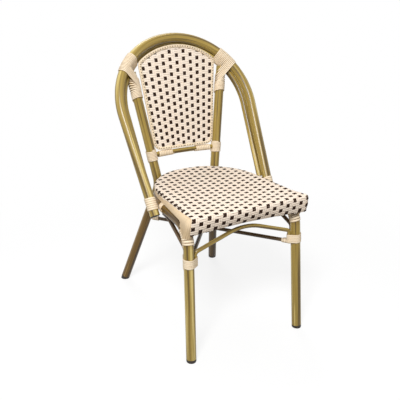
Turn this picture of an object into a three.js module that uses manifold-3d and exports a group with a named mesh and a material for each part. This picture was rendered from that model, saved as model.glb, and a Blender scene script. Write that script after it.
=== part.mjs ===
// A bistro side chair. Its frame is bent aluminium tube painted like bamboo: one long tube makes both
// front legs and the rail round the seat, each back leg runs on upward as a back post, and a raked double
// hoop frames the back. A woven seat lies on a flat ring, a woven panel stands between the posts, and wound
// cord binds the joints. Lengths are millimetres. X runs to the chair's left and right, -Y is the front, Z
// is up.

import * as THREE from 'three';
import { mergeVertices } from 'three/addons/utils/BufferGeometryUtils.js';
import Module from 'manifold-3d';

const wasm = await Module();
wasm.setup();

// Sizes that more than one piece follows
const overallHeight = 880;
const clearance = 0.3;

// The main tube, of the legs, the seat rail, the posts and the outer hoop
const mainTube = { radius: 15, bore: 13, sides: 16, boreSides: 10 };
const mainBendRadius = 65;
const mainBendStep = THREE.MathUtils.degToRad(13);

// The slimmer tubes
const innerHoopTube = { radius: 10, bore: 8.5, sides: 12, boreSides: 8 };
const frontRailTube = { radius: 11, bore: 9.5, sides: 12, boreSides: 8 };
const panelRailTube = { radius: 8, bore: 6.5, sides: 10, boreSides: 8 };
const stretcherTube = { radius: 6, bore: 4.8, sides: 8, boreSides: 6 };
const thinBendStep = THREE.MathUtils.degToRad(25);

// Front legs and the seat rail, given at the tube's centre
const railHeight = 407;
const frontFootX = 191;
const frontFootY = -245;
const frontKneeX = 181;
const frontKneeY = -206;
const railHalfWidth = 173.5;
const railBackCentreY = -30;
const railBackReach = 196;
const railBackSteps = 16;

// Back legs and posts
const rearFootX = 187;
const rearFootY = 308;
const waistAngle = THREE.MathUtils.degToRad(58.8);
const waistBendRadius = 80;
const postTopForward = 5;

// The raked hoop
const hoopRake = THREE.MathUtils.degToRad(32.7);
const hoopHalfWidth = 230;
const hoopRise = 233;
const hoopFootY = -27;
const hoopFootDrop = 23;
const hoopSteps = 24;
const hoopTopRoll = THREE.MathUtils.degToRad(62);
const hoopSideRoll = THREE.MathUtils.degToRad(42);
const postTopAngle = THREE.MathUtils.degToRad(40);
const shoulderAngle = THREE.MathUtils.degToRad(39.9);

// Wound cord
const cord = { radius: 1.9, sides: 4, stepsPerLoop: 10 };
const cordPitch = 5.3;
const shoulderLoops = 13;
const postTopLoops = 11;
const postLowLoops = 6;
const postLowDrop = 18;
const saddleSteps = 3;
const hoopEndLoops = 7;

// Feet and plugs
const glideHeight = 7;
const plugStem = 14;
const plugLip = 3;
const plugSides = 16;

// The seat
const seatRingHeight = 17;
const seatRingTuck = 2;
const seatRingWidth = 20;
const seatSkin = 5;
const seatSag = 5;
const seatEdgeRadius = 10;
const seatPlanCounts = [5, 4, 5, 10];
const seatFrontHalfWidth = 211;
const seatFrontY = -235;
const seatFrontBow = 2;
const seatCornerRadius = 18;
const seatBackOverhang = 6;
const seatBackOutset = 3;
const seatSideRise = 21;
const seatFrontDrop = 14;
const seatFrontTuck = 14;
const seatCornerTuck = 7;
const skirtFallStartY = -203;
const skirtFallEndY = -224;

// The back panel, from the rail under it to just below the hoop's top
const panelRailRise = 60.4;
const panelRise = 12;
const panelTopDrop = 34;
const panelShoulderDrop = 83;
const panelShoulderGap = 13.3;
const panelForward = 0;
const panelSkin = 6;
const panelCrown = 1;
const panelCornerRadius = 28;
const panelShoulderRadius = 14;
const panelPlanCounts = [4, 4, 5, 4, 6];
const rimWidth = 14;
const rimThickness = 10;
const panelRailBow = 9;
const panelRailBinding = 10.5;
const panelRailSleeve = 52;

// The rail under the seat's front edge
const frontRailY = -163;

// Stretchers under the seat
const stretcherBendRadius = 14;
const archTurn = THREE.MathUtils.degToRad(10);
const archKneeRise = 9;
const frontArchTopDrop = 19;
const frontArchBendRadius = 160;
const sideArchKneeRise = 18;
const sideArchTouchY = -66;
const sideArchEndY = -30;
const crossFrontDrop = 115;
const crossRearDrop = 130;
const legWrapHeight = 32;
const legWrapCrown = 1.5;
const legWrapSides = 24;

// The smooth sleeve of wound cord round each front knee
const kneeSleeveDrop = 47;
const kneeSleeveTopDrop = 9;
const sleeveWall = 2.4;

// Places that follow from the sizes above
const seatBackY = railBackCentreY + railBackReach + seatBackOverhang;
const seatBackRadius = railHalfWidth + seatBackOutset;
const seatUnderside = railHeight + mainTube.radius + seatRingHeight + 2 * clearance;
const seatTop = seatUnderside + seatSkin;
const panelRailHeight = seatTop + panelRailRise;
const panelBottom = panelRailHeight + panelRise;
const panelTop = overallHeight - panelTopDrop;
const panelShoulder = overallHeight - panelShoulderDrop;
const crossFrontHeight = railHeight - crossFrontDrop;
const crossRearHeight = railHeight - crossRearDrop;
const legWrapBottom = crossFrontHeight;
const legWrapTop = legWrapBottom + legWrapHeight;
const archEndHeight = legWrapBottom;
const archKneeHeight = legWrapTop + archKneeRise;
const sideArchKneeHeight = legWrapTop + sideArchKneeRise;

const colours = {
  bamboo: 0xb9a566,
  shade: 0x7a6238,
  strand: 0xf3e3cf,
  cord: 0xefdcc2,
  plug: 0x2b221d,
};

const up = new THREE.Vector3(0, 0, 1);

// A wound turn has straight steps, so its corners stand off the round it binds
const turnHalfStep = Math.PI / cord.stepsPerLoop;

function turnRadius(radius) {
  return (radius + clearance + cord.radius) / Math.cos(turnHalfStep);
}

// The radius that stays clear of a tube and of the cord wound round it
function boundRadius(radius) {
  return turnRadius(radius) + cord.radius + clearance;
}

function point(x, y, z) {
  return new THREE.Vector3(x, y, z);
}

function mirrored(p) {
  return point(-p.x, p.y, p.z);
}

// A path through given stations: a tube takes one ring at each, square to the mean of the two steps there.
class StationPath extends THREE.Curve {
  constructor(stations) {
    super();
    this.stations = stations;
  }

  indexAt(t) {
    return Math.round(t * (this.stations.length - 1));
  }

  getPoint(t, target = new THREE.Vector3()) {
    return target.copy(this.stations[this.indexAt(t)]);
  }

  getPointAt(u, target) {
    return this.getPoint(u, target);
  }

  getTangent(t, target = new THREE.Vector3()) {
    const i = this.indexAt(t);
    const last = this.stations.length - 1;
    const here = this.stations[i];
    const before = this.stations[Math.max(i - 1, 0)];
    const after = this.stations[Math.min(i + 1, last)];
    const stepIn = here.clone().sub(before).normalize();
    const stepOut = after.clone().sub(here).normalize();
    return target.copy(stepIn.add(stepOut)).normalize();
  }

  getTangentAt(u, target) {
    return this.getTangent(u, target);
  }
}

// A line through corners, each inner corner rounded with its own radius
function bentPath(corners, radii, bendStep) {
  const stations = [corners[0].clone()];
  for (let i = 1; i < corners.length - 1; i += 1) {
    const toBefore = corners[i - 1].clone().sub(corners[i]).normalize();
    const toAfter = corners[i + 1].clone().sub(corners[i]).normalize();
    const half = toBefore.angleTo(toAfter) / 2;
    const sweep = Math.PI - 2 * half;
    const centreWay = toBefore.clone().add(toAfter).normalize();
    const centre = corners[i].clone().addScaledVector(centreWay, radii[i - 1] / Math.sin(half));
    const start = corners[i].clone().addScaledVector(toBefore, radii[i - 1] / Math.tan(half));
    const spoke = start.clone().sub(centre);
    const axis = toAfter.clone().cross(toBefore).normalize();
    const steps = Math.max(1, Math.ceil(sweep / bendStep));
    for (let k = 0; k <= steps; k += 1) {
      stations.push(centre.clone().add(spoke.clone().applyAxisAngle(axis, (sweep * k) / steps)));
    }
  }
  stations.push(corners[corners.length - 1].clone());
  return stations;
}

// The part of a rising line that lies between two heights
function betweenHeights(stations, low, high) {
  const part = [];
  stations.slice(0, -1).forEach((p, i) => {
    const next = stations[i + 1];
    const at = (height) => p.clone().lerp(next, (height - p.z) / (next.z - p.z));
    if (p.z < low && next.z > low) {
      part.push(at(low));
    }
    if (p.z > low && p.z < high) {
      part.push(p.clone());
    }
    if (p.z < high && next.z > high) {
      part.push(at(high));
    }
  });
  return part;
}

function circle(radius, sides) {
  return Array.from({ length: sides }, (_, k) => {
    const angle = (2 * Math.PI * k) / sides;
    return new THREE.Vector2(radius * Math.cos(angle), radius * Math.sin(angle));
  });
}

// Only the places of the corners are kept, so that neighbouring faces share them
function welded(geometry) {
  const bare = geometry.clone();
  bare.deleteAttribute('normal');
  bare.deleteAttribute('uv');
  const merged = mergeVertices(bare);
  merged.computeVertexNormals();
  return merged;
}

function extruded(section, stations) {
  const geometry = new THREE.ExtrudeGeometry(section, {
    extrudePath: new StationPath(stations),
    steps: stations.length - 1,
    bevelEnabled: false,
  });
  return welded(geometry);
}

function tubeAlong(stations, tube) {
  const section = new THREE.Shape(circle(tube.radius, tube.sides));
  section.holes.push(new THREE.Path(circle(tube.bore, tube.boreSides)));
  return extruded(section, stations);
}

function rodAlong(stations, radius, sides) {
  return extruded(new THREE.Shape(circle(radius, sides)), stations);
}

function toSolid(geometry) {
  const mesh = new wasm.Mesh({
    numProp: 3,
    vertProperties: Float32Array.from(geometry.attributes.position.array),
    triVerts: Uint32Array.from(geometry.index.array),
  });
  return new wasm.Manifold(mesh);
}

function fromSolid(solid) {
  const mesh = solid.getMesh();
  const geometry = new THREE.BufferGeometry();
  geometry.setAttribute('position', new THREE.BufferAttribute(mesh.vertProperties, 3));
  geometry.setIndex(new THREE.BufferAttribute(mesh.triVerts, 1));
  return welded(geometry);
}

// A shell through a stack of closed rings of equal counts, closed by a fan at each end
function loft(firstPole, rings, lastPole) {
  const count = rings[0].length;
  const places = [firstPole, ...rings.flat(), lastPole];
  const faces = [];
  for (let k = 0; k < count; k += 1) {
    const next = (k + 1) % count;
    faces.push(0, 1 + k, 1 + next);
    for (let r = 0; r < rings.length - 1; r += 1) {
      const a = 1 + r * count;
      const b = a + count;
      faces.push(a + k, b + k, b + next, a + k, b + next, a + next);
    }
    const lastRing = 1 + (rings.length - 1) * count;
    faces.push(lastRing + k, places.length - 1, lastRing + next);
  }
  return fromFaces(places, faces);
}

// A closed hoop of one section, carried round a closed outline
function ringLoft(rings) {
  const count = rings[0].length;
  const faces = [];
  rings.forEach((_, r) => {
    const a = r * count;
    const b = ((r + 1) % rings.length) * count;
    for (let k = 0; k < count; k += 1) {
      const next = (k + 1) % count;
      faces.push(a + k, b + k, b + next, a + k, b + next, a + next);
    }
  });
  return fromFaces(rings.flat(), faces);
}

function fromFaces(places, faces) {
  const geometry = new THREE.BufferGeometry();
  const values = places.flatMap((p) => p.toArray());
  geometry.setAttribute('position', new THREE.Float32BufferAttribute(values, 3));
  geometry.setIndex(faces);
  return facingOut(geometry);
}

// The faces are turned round together where they enclose their space the wrong way
function facingOut(geometry) {
  const places = geometry.attributes.position;
  const index = geometry.index.array;
  const [a, b, c] = [point(0, 0, 0), point(0, 0, 0), point(0, 0, 0)];
  let volume = 0;
  for (let i = 0; i < index.length; i += 3) {
    a.fromBufferAttribute(places, index[i]);
    b.fromBufferAttribute(places, index[i + 1]);
    c.fromBufferAttribute(places, index[i + 2]);
    volume += a.dot(b.cross(c));
  }
  if (volume < 0) {
    for (let i = 0; i < index.length; i += 3) {
      [index[i + 1], index[i + 2]] = [index[i + 2], index[i + 1]];
    }
  }
  geometry.computeVertexNormals();
  return geometry;
}

// The front legs and the seat rail

const frontFoot = point(frontFootX, frontFootY, 0);
const frontKnee = point(frontKneeX, frontKneeY, railHeight);
const frontLegWay = frontKnee.clone().sub(frontFoot).normalize();

function onLine(start, way, height) {
  return start.clone().addScaledVector(way, (height - start.z) / way.z);
}

function frontLegAt(height) {
  return onLine(frontFoot, frontLegWay, height);
}

// A leg's tube ends where its lowest edge is the glide's height above the floor
function footEnd(foot, way) {
  const tilt = way.angleTo(up);
  return onLine(foot, way, glideHeight + mainTube.radius * Math.sin(tilt));
}

function railBackAt(angle, outset = 0) {
  const x = (railHalfWidth + outset) * Math.cos(angle);
  const y = railBackCentreY + (railBackReach + outset) * Math.sin(angle);
  return point(x, y, railHeight);
}

function frontKneePath(lowEnd) {
  return bentPath([lowEnd, frontKnee, railBackAt(0)], [mainBendRadius], mainBendStep);
}

function seatFrameTube() {
  const right = frontKneePath(footEnd(frontFoot, frontLegWay));
  const back = [];
  for (let k = 1; k < railBackSteps; k += 1) {
    back.push(railBackAt((Math.PI * k) / railBackSteps));
  }
  const left = right.map(mirrored).reverse();
  return tubeAlong([...right, ...back, ...left], mainTube);
}

// The rail runs straight from the knee to where its back begins to curve
function railXAt(y) {
  const share = (y - frontKneeY) / (railBackCentreY - frontKneeY);
  if (share <= 1) {
    return THREE.MathUtils.lerp(frontKneeX, railHalfWidth, share);
  }
  const reach = (y - railBackCentreY) / railBackReach;
  return railHalfWidth * Math.sqrt(1 - reach * reach);
}

// The hoops lie in a raked plane: x across, s up the rake from the height of the rail

const rakeUp = point(0, Math.sin(hoopRake), Math.cos(hoopRake));
const rakeBack = point(0, Math.cos(hoopRake), -Math.sin(hoopRake));
const hoopFootX = railXAt(hoopFootY) + mainTube.radius + boundRadius(mainTube.radius);
const hoopCentreHeight = overallHeight - mainTube.radius - hoopRise * Math.cos(hoopRake);
const hoopCentreS = (hoopCentreHeight - railHeight) / Math.cos(hoopRake);

// The angle below the hoop's centre at which its round top runs straight on into its feet
function hoopLeanAngle() {
  const across = (hoopCentreS * hoopHalfWidth) / hoopRise;
  return Math.atan2(across, hoopFootX) - Math.acos(hoopHalfWidth / Math.hypot(across, hoopFootX));
}

const hoopLean = hoopLeanAngle();

function onRake(x, s) {
  return point(x, hoopFootY, railHeight).addScaledVector(rakeUp, s);
}

function hoopArcAt(angle) {
  return onRake(hoopHalfWidth * Math.cos(angle), hoopCentreS + hoopRise * Math.sin(angle));
}

function hoopOutwardAt(angle) {
  const x = hoopRise * Math.cos(angle);
  const s = hoopHalfWidth * Math.sin(angle);
  return point(x, 0, 0).addScaledVector(rakeUp, s).normalize();
}

const hoopSideWay = hoopArcAt(-hoopLean).sub(onRake(hoopFootX, 0)).normalize();
const hoopSideOutward = hoopOutwardAt(-hoopLean);

// A place on the straight side of the hoop, at a distance up the rake from the rail
function hoopSideAt(s) {
  return onRake(hoopFootX, 0).addScaledVector(hoopSideWay, s);
}

const hoopSweep = Math.PI + 2 * hoopLean;
const hoopAngles = Array.from({ length: hoopSteps + 1 }, (_, k) => (hoopSweep * k) / hoopSteps - hoopLean);

function outerHoop() {
  const foot = hoopSideAt(-hoopFootDrop);
  return tubeAlong([foot, ...hoopAngles.map(hoopArcAt), mirrored(foot)], mainTube);
}

// A hoop's tube has straight steps, and what is wound round it follows those
function followingHoop(lineAt, angle) {
  const at = ((angle + hoopLean) * hoopSteps) / hoopSweep;
  const k = Math.floor(at);
  return lineAt(hoopAngles[k]).lerp(lineAt(hoopAngles[k + 1]), at - k);
}

// The inner hoop nests in the outer one. How far it rolls round behind it changes from the sides to the
// top.
const hoopNest = mainTube.radius + innerHoopTube.radius + clearance;

function nestOffset(outward, roll) {
  const inwardPart = outward.clone().multiplyScalar(-hoopNest * Math.cos(roll));
  return inwardPart.addScaledVector(rakeBack, hoopNest * Math.sin(roll));
}

function hoopRollAt(angle) {
  const share = Math.sin(angle) ** 2;
  return THREE.MathUtils.lerp(hoopSideRoll, hoopTopRoll, share);
}

function innerHoopAt(angle) {
  return hoopArcAt(angle).add(nestOffset(hoopOutwardAt(angle), hoopRollAt(angle)));
}

const hoopWindingBottomS = -4;
const hoopWindingTopS = hoopWindingBottomS + hoopEndLoops * cordPitch;
const innerHoopFootS = hoopWindingTopS + innerHoopTube.radius;

function innerHoop() {
  const foot = hoopSideAt(innerHoopFootS).add(nestOffset(hoopSideOutward, hoopTopRoll));
  return tubeAlong([foot, ...hoopAngles.map(innerHoopAt), mirrored(foot)], innerHoopTube);
}

// The back legs, which are the back posts above the seat

const rearFoot = point(rearFootX, rearFootY, 0);
const postTop = innerHoopAt(postTopAngle).add(point(0, -postTopForward, 0));

// The post touches the back of the rail at its waist, so its corner lies a little nearer than its round
function waistCorner() {
  const rail = railBackAt(waistAngle);
  const normal = [railBackReach * Math.cos(waistAngle), railHalfWidth * Math.sin(waistAngle)];
  const way = point(normal[0], normal[1], 0).normalize();
  const waist = rail.clone().addScaledVector(way, 2 * mainTube.radius + clearance);
  const toFoot = rearFoot.clone().sub(waist).normalize();
  const toTop = postTop.clone().sub(waist).normalize();
  const half = toFoot.angleTo(toTop) / 2;
  const middle = toFoot.add(toTop).normalize();
  return waist.addScaledVector(middle, -waistBendRadius * (1 / Math.sin(half) - 1));
}

const waist = waistCorner();
const rearLegWay = waist.clone().sub(rearFoot).normalize();
const postWay = postTop.clone().sub(waist).normalize();

function rearLegAt(height) {
  return onLine(rearFoot, rearLegWay, height);
}

function postAt(height) {
  return onLine(waist, postWay, height);
}

const shoulderSpan = (shoulderLoops * cordPitch) / hoopRise;
const shoulderStart = shoulderAngle - shoulderSpan / 2;

// A post's top is a saddle that sits on the cord round the two hoops
function backLeg() {
  const lowEnd = footEnd(rearFoot, rearLegWay);
  const stations = bentPath([lowEnd, waist, postTop], [waistBendRadius], mainBendStep);
  const tube = toSolid(tubeAlong(stations, mainTube));
  const parts = tube.subtract(toSolid(shoulderSpace())).decompose();
  const largest = parts.reduce((best, part) => (part.volume() > best.volume() ? part : best));
  return fromSolid(largest);
}

// Cord wound round one or more tubes that lie side by side, as one unbroken tube

// The farthest place of the bound tubes in one direction, out by the cord's own depth
function hullAt(circles, angle, slack) {
  const way = new THREE.Vector2(Math.cos(angle), Math.sin(angle));
  const reach = (c) => c.centre.dot(way) + c.radius;
  const widest = circles.reduce((best, c) => (reach(c) > reach(best) ? c : best));
  return widest.centre.clone().addScaledVector(way, turnRadius(widest.radius) + slack);
}

// How much nearer than it may a cord's straight steps come to the tubes they go round
function turnBite(circles, slack) {
  let bite = 0;
  for (let k = 0; k < cord.stepsPerLoop; k += 1) {
    const from = hullAt(circles, 2 * turnHalfStep * k, slack);
    const along = hullAt(circles, 2 * turnHalfStep * (k + 1), slack).sub(from).normalize();
    circles.forEach((c) => {
      const distance = from.clone().sub(c.centre).cross(along);
      bite = Math.max(bite, c.radius + clearance + cord.radius - distance);
    });
  }
  return bite;
}

// frameAt(share) gives a place on the bound tubes' line, two ways across it, and the circles to go round
function windingStations(loops, frameAt, firstStep) {
  const steps = loops * cord.stepsPerLoop;
  const slack = turnBite(frameAt(0).circles, 0);
  const stations = [];
  for (let k = 0; k <= steps; k += 1) {
    const { centre, across, over, circles } = frameAt(k / steps);
    const spot = hullAt(circles, 2 * turnHalfStep * (k + firstStep), slack);
    stations.push(centre.clone().addScaledVector(across, spot.x).addScaledVector(over, spot.y));
  }
  const lead = (end, next) => end.clone().add(end.clone().sub(next).setLength(2 * cord.radius));
  const first = lead(stations[0], stations[1]);
  const last = lead(stations[steps], stations[steps - 1]);
  return [first, ...stations, last];
}

function nearestSelfGap(stations) {
  let least = Infinity;
  stations.forEach((p, i) => {
    for (let j = i + cord.stepsPerLoop - 2; j < stations.length; j += 1) {
      least = Math.min(least, p.distanceTo(stations[j]));
    }
  });
  return least - 2 * cord.radius;
}

function winding(label, loops, frameAt, firstStep = 0) {
  const stations = windingStations(loops, frameAt, firstStep);
  console.log(`${label}: least gap between turns ${nearestSelfGap(stations).toFixed(2)} mm`);
  return rodAlong(stations, cord.radius, cord.sides);
}

const noShift = new THREE.Vector2(0, 0);

function aroundLine(start, way, length, circles, acrossWay) {
  const over = way.clone().cross(acrossWay).normalize();
  const across = over.clone().cross(way).normalize();
  return (share) => ({ centre: start.clone().addScaledVector(way, length * share), across, over, circles });
}

function aroundMainTube(start, way, loops) {
  const circles = [{ centre: noShift, radius: mainTube.radius }];
  return aroundLine(start, way, loops * cordPitch, circles, point(1, 0, 0));
}

function shoulderFrame(share) {
  const angle = shoulderStart + shoulderSpan * share;
  const centre = followingHoop(hoopArcAt, angle);
  const toInner = followingHoop(innerHoopAt, angle).sub(centre);
  const across = hoopOutwardAt(angle).negate();
  const innerCentre = new THREE.Vector2(toInner.dot(across), toInner.dot(rakeBack));
  const circles = [
    { centre: noShift, radius: mainTube.radius },
    { centre: innerCentre, radius: innerHoopTube.radius },
  ];
  return { centre, across, over: rakeBack, circles };
}

// The space the cord takes up on the two hoops, which the post's top keeps out of
function shoulderSpace() {
  const slack = turnBite(shoulderFrame(0).circles, 0) + cord.radius + clearance;
  const rings = [];
  for (let step = -saddleSteps; step <= 2 * saddleSteps; step += 1) {
    const { centre, across, over, circles } = shoulderFrame(step / saddleSteps);
    const turn = Array.from({ length: cord.stepsPerLoop }, (_, k) => {
      const spot = hullAt(circles, 2 * turnHalfStep * k, slack);
      return centre.clone().addScaledVector(across, spot.x).addScaledVector(over, spot.y);
    });
    rings.push(turn);
  }
  return loft(shoulderFrame(-1).centre, rings, shoulderFrame(2).centre);
}

function shoulderWinding() {
  return winding('hoop shoulder', shoulderLoops, shoulderFrame, cord.stepsPerLoop / 2);
}

const shoulderReach = boundRadius(innerHoopTube.radius) + boundRadius(mainTube.radius);

function postTopWinding() {
  const start = postTop.clone().addScaledVector(postWay, -shoulderReach);
  return winding('post top', postTopLoops, aroundMainTube(start, postWay.clone().negate(), postTopLoops));
}

function postLowWinding() {
  const start = postAt(panelRailHeight - postLowDrop);
  return winding('post foot', postLowLoops, aroundMainTube(start, postWay, postLowLoops));
}

function hoopEndWinding() {
  const start = hoopSideAt(hoopWindingBottomS);
  return winding('hoop end', hoopEndLoops, aroundMainTube(start, hoopSideWay, hoopEndLoops));
}

// The ends of the front arch and of a side arch stand against the leg inside its wrap
const archSeat = mainTube.radius + stretcherTube.radius + clearance;
const frontArchSeat = new THREE.Vector2(-archSeat * Math.cos(archTurn), archSeat * Math.sin(archTurn));


// Stretchers


function frontArchStations() {
  const beside = (height) => frontLegAt(height).add(point(frontArchSeat.x, frontArchSeat.y, 0));
  const end = beside(archEndHeight);
  const knee = beside(archKneeHeight);
  const top = point(0, knee.y, railHeight - frontArchTopDrop);
  const corners = [end, knee, top, mirrored(knee), mirrored(end)];
  const radii = [stretcherBendRadius, frontArchBendRadius, stretcherBendRadius];
  return bentPath(corners, radii, thinBendStep);
}

function sideArchStations() {
  const behind = (height) => frontLegAt(height).add(point(0, archSeat, 0));
  const underRail = railHeight - archSeat;
  const touch = point(railXAt(sideArchTouchY), sideArchTouchY, underRail);
  const end = point(railXAt(sideArchEndY), sideArchEndY, underRail);
  const corners = [behind(archEndHeight), behind(sideArchKneeHeight), touch, end];
  const radii = [stretcherBendRadius, mainBendRadius];
  return bentPath(corners, radii, thinBendStep);
}

// How far from a leg's centre a slim tube that meets it at a slant has to stop
function buttDistance(way, legWay) {
  const slant = way.angleTo(legWay);
  const edge = stretcherTube.radius * Math.abs(Math.cos(slant));
  return (mainTube.radius + clearance + edge) / Math.sin(slant);
}

// The two cross stretchers pass each other in the middle, one just above the other
const crossLift = 2 * stretcherTube.radius + clearance;

function crossStations(lift) {
  const front = frontLegAt(crossFrontHeight + lift);
  const rear = mirrored(rearLegAt(crossRearHeight + lift));
  const way = rear.clone().sub(front).normalize();
  const rearWay = mirrored(rearLegWay);
  const start = front.addScaledVector(way, buttDistance(way, frontLegWay));
  const end = rear.addScaledVector(way, -buttDistance(way, rearWay));
  return [start, end];
}

// The wrap round a front leg is cord drawn tight into one crowned sleeve, over the leg, both arches' ends
// and the end of a cross stretcher
function legWrap(crossLine) {
  const circles = [
    { centre: noShift, radius: mainTube.radius },
    { centre: frontArchSeat, radius: stretcherTube.radius },
    { centre: new THREE.Vector2(0, archSeat), radius: stretcherTube.radius },
  ];
  const rings = [0, 1 / 4, 3 / 4, 1].map((share) => {
    const centre = frontLegAt(THREE.MathUtils.lerp(legWrapBottom, legWrapTop, share));
    const depth = 2 * cord.radius + clearance + (share > 0 && share < 1 ? legWrapCrown : 0);
    return Array.from({ length: legWrapSides }, (_, k) => {
      const angle = (2 * Math.PI * k) / legWrapSides;
      const way = new THREE.Vector2(Math.cos(angle), Math.sin(angle));
      const reach = (c) => c.centre.dot(way) + c.radius;
      const widest = circles.reduce((best, c) => (reach(c) > reach(best) ? c : best));
      const spot = widest.centre.clone().addScaledVector(way, widest.radius + depth);
      return centre.clone().add(point(spot.x, spot.y, 0));
    });
  });
  let wrap = toSolid(loft(frontLegAt(legWrapBottom), rings, frontLegAt(legWrapTop)));
  const slim = stretcherTube.radius + 3 * clearance;
  const leg = [footEnd(frontFoot, frontLegWay), frontLegAt(legWrapTop + mainTube.radius)];
  wrap = wrap.subtract(toSolid(rodAlong(leg, mainTube.radius + 2 * clearance, mainTube.sides)));
  const drop = (stations) => [stations[0].clone().setZ(legWrapBottom - slim), ...stations.slice(1)];
  [drop(frontArchStations()), drop(sideArchStations()), crossLine].forEach((line) => {
    wrap = wrap.subtract(toSolid(rodAlong(line, slim, stretcherTube.sides)));
  });
  const parts = wrap.decompose();
  const largest = parts.reduce((best, part) => (part.volume() > best.volume() ? part : best));
  return fromSolid(largest);
}

function frontRail() {
  const height = railHeight + mainTube.radius - frontRailTube.radius;
  const reach = railXAt(frontRailY) - mainTube.radius - 2 * clearance;
  return tubeAlong([point(reach, frontRailY, height), point(-reach, frontRailY, height)], frontRailTube);
}

// The seat

// The points of an outline whose right half is drawn from the middle of one edge to the middle of the other
function bothHalves(half, counts) {
  const right = half.curves.flatMap((curve, i) => curve.getPoints(counts[i]).slice(0, -1));
  right.push(half.getPoint(1));
  const left = right.slice(1, -1).map((p) => new THREE.Vector2(-p.x, p.y)).reverse();
  return [...right, ...left];
}

// The seat's plan, whose right half runs from the middle of the front to the middle of the back
function seatPlan(inset = 0) {
  const cornerX = seatFrontHalfWidth - inset;
  const frontY = seatFrontY + inset;
  const corner = Math.max(seatCornerRadius - inset, clearance);
  const backRadius = seatBackRadius - inset;
  const backCentreY = seatBackY - seatBackRadius;
  const sideStart = new THREE.Vector2(cornerX, frontY + corner);
  const fromCentre = sideStart.clone().sub(new THREE.Vector2(0, backCentreY));
  const sideTurn = fromCentre.angle() + Math.acos(backRadius / fromCentre.length()) - 2 * Math.PI;
  const half = new THREE.Path();
  half.moveTo(0, frontY - seatFrontBow);
  half.quadraticCurveTo((cornerX - corner) / 2, frontY - seatFrontBow, cornerX - corner, frontY);
  half.quadraticCurveTo(cornerX, frontY, cornerX, frontY + corner);
  half.absarc(0, backCentreY, backRadius, sideTurn, Math.PI / 2);
  return bothHalves(half, seatPlanCounts);
}

function seatRing() {
  const bottom = railHeight + mainTube.radius + clearance;
  const outset = seatSkin + 4 * clearance;
  const rings = [
    [outset, bottom],
    [outset, bottom + seatRingHeight],
    [outset + seatRingWidth, bottom + seatRingHeight],
    [outset + seatRingWidth, bottom],
  ].map(([inset, height]) => {
    return seatPlan(inset).map((p) => point(p.x, p.y + seatRingTuck * skirtFall(p.y), height));
  });
  return ringLoft(rings);
}

// How far the skirt has fallen towards the front apron, from 0 at the sides to 1 at the front
function skirtFall(y) {
  return THREE.MathUtils.smoothstep(-y, -skirtFallStartY, -skirtFallEndY);
}

function skirtBottom(y) {
  return railHeight + THREE.MathUtils.lerp(seatSideRise, -seatFrontDrop, skirtFall(y));
}

const seatInnerShares = [0.35, 0.7, 1];

function seatWeave() {
  const edge = seatPlan();
  const middle = point(0, railBackCentreY, 0);
  const flat = (inset, height) => seatPlan(inset).map((p) => point(p.x, p.y, height));
  const sheet = (share, height) => seatPlan(seatSkin + seatRingWidth + 5 * clearance).map((p) => {
    const spot = middle.clone().lerp(point(p.x, p.y, 0), share);
    spot.z = height - seatSag * (1 - share * share);
    return spot;
  });
  const skirt = (inset, share) => seatPlan(inset).map((p, k) => {
    const sideways = Math.min(Math.abs(p.x) / frontKneeX, 1);
    const tuck = skirtFall(edge[k].y) * THREE.MathUtils.lerp(seatFrontTuck, seatCornerTuck, sideways);
    const height = THREE.MathUtils.lerp(seatTop - seatEdgeRadius, skirtBottom(edge[k].y), share);
    return point(p.x, p.y + tuck * share * share, height);
  });
  const round = (share) => {
    const angle = (share * Math.PI) / 2;
    const inset = seatEdgeRadius * (1 - Math.sin(angle));
    return flat(inset, seatTop - seatEdgeRadius * (1 - Math.cos(angle)));
  };
  const above = seatInnerShares.map((share) => sheet(share, seatTop));
  const below = seatInnerShares.map((share) => sheet(share, seatUnderside)).reverse();
  const rings = [
    ...above,
    round(0),
    round(1 / 3),
    round(2 / 3),
    round(1),
    skirt(0, 1 / 2),
    skirt(0, 1),
    skirt(seatSkin, 1),
    skirt(seatSkin, 1 / 2),
    flat(seatSkin, seatUnderside),
    ...below,
  ];
  const centre = (height) => point(middle.x, middle.y, height - seatSag);
  return loft(centre(seatTop), rings, centre(seatUnderside));
}

// The back panel stands in the plane of the two posts, a little forward of their centres

const panelUp = point(0, postWay.y, postWay.z).normalize();
const panelOut = point(0, panelUp.z, -panelUp.y).negate();
const postLean = postWay.x / Math.hypot(postWay.y, postWay.z);

function onPanel(x, s, forward) {
  const base = point(x, waist.y, waist.z).addScaledVector(panelUp, s);
  return base.addScaledVector(panelOut, panelForward + forward);
}

function panelS(height) {
  return (height - waist.z) / panelUp.z;
}

// The panel's outline: sides that rest against the posts low down, an arched top and two round lower
// corners
function panelPlan() {
  const [bottom, shoulder, top] = [panelBottom, panelShoulder, panelTop].map(panelS);
  const sideStart = bottom + panelCornerRadius;
  const postEdge = (mainTube.radius + 2 * clearance) / Math.cos(Math.atan(postLean));
  const cornerX = waist.x + postLean * sideStart - postEdge;
  const shoulderX = waist.x + postLean * shoulder - postEdge - panelShoulderGap;
  const slope = (shoulderX - cornerX) / (shoulder - sideStart);
  const lowX = cornerX - slope * panelCornerRadius;
  const sideEnd = shoulder - panelShoulderRadius;
  const sideEndX = shoulderX - slope * panelShoulderRadius;
  const archStart = shoulderX - panelShoulderRadius;
  const crown = 2 * ((top - shoulder) / shoulderX);
  const half = new THREE.Path();
  half.moveTo(0, bottom);
  half.lineTo(lowX - panelCornerRadius, bottom);
  half.quadraticCurveTo(lowX, bottom, cornerX, sideStart);
  half.lineTo(sideEndX, sideEnd);
  const archRise = crown * panelShoulderRadius;
  half.quadraticCurveTo(shoulderX, shoulder, archStart, shoulder + archRise);
  half.quadraticCurveTo(shoulderX / 2, top, 0, top);
  return bothHalves(half, panelPlanCounts);
}

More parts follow.
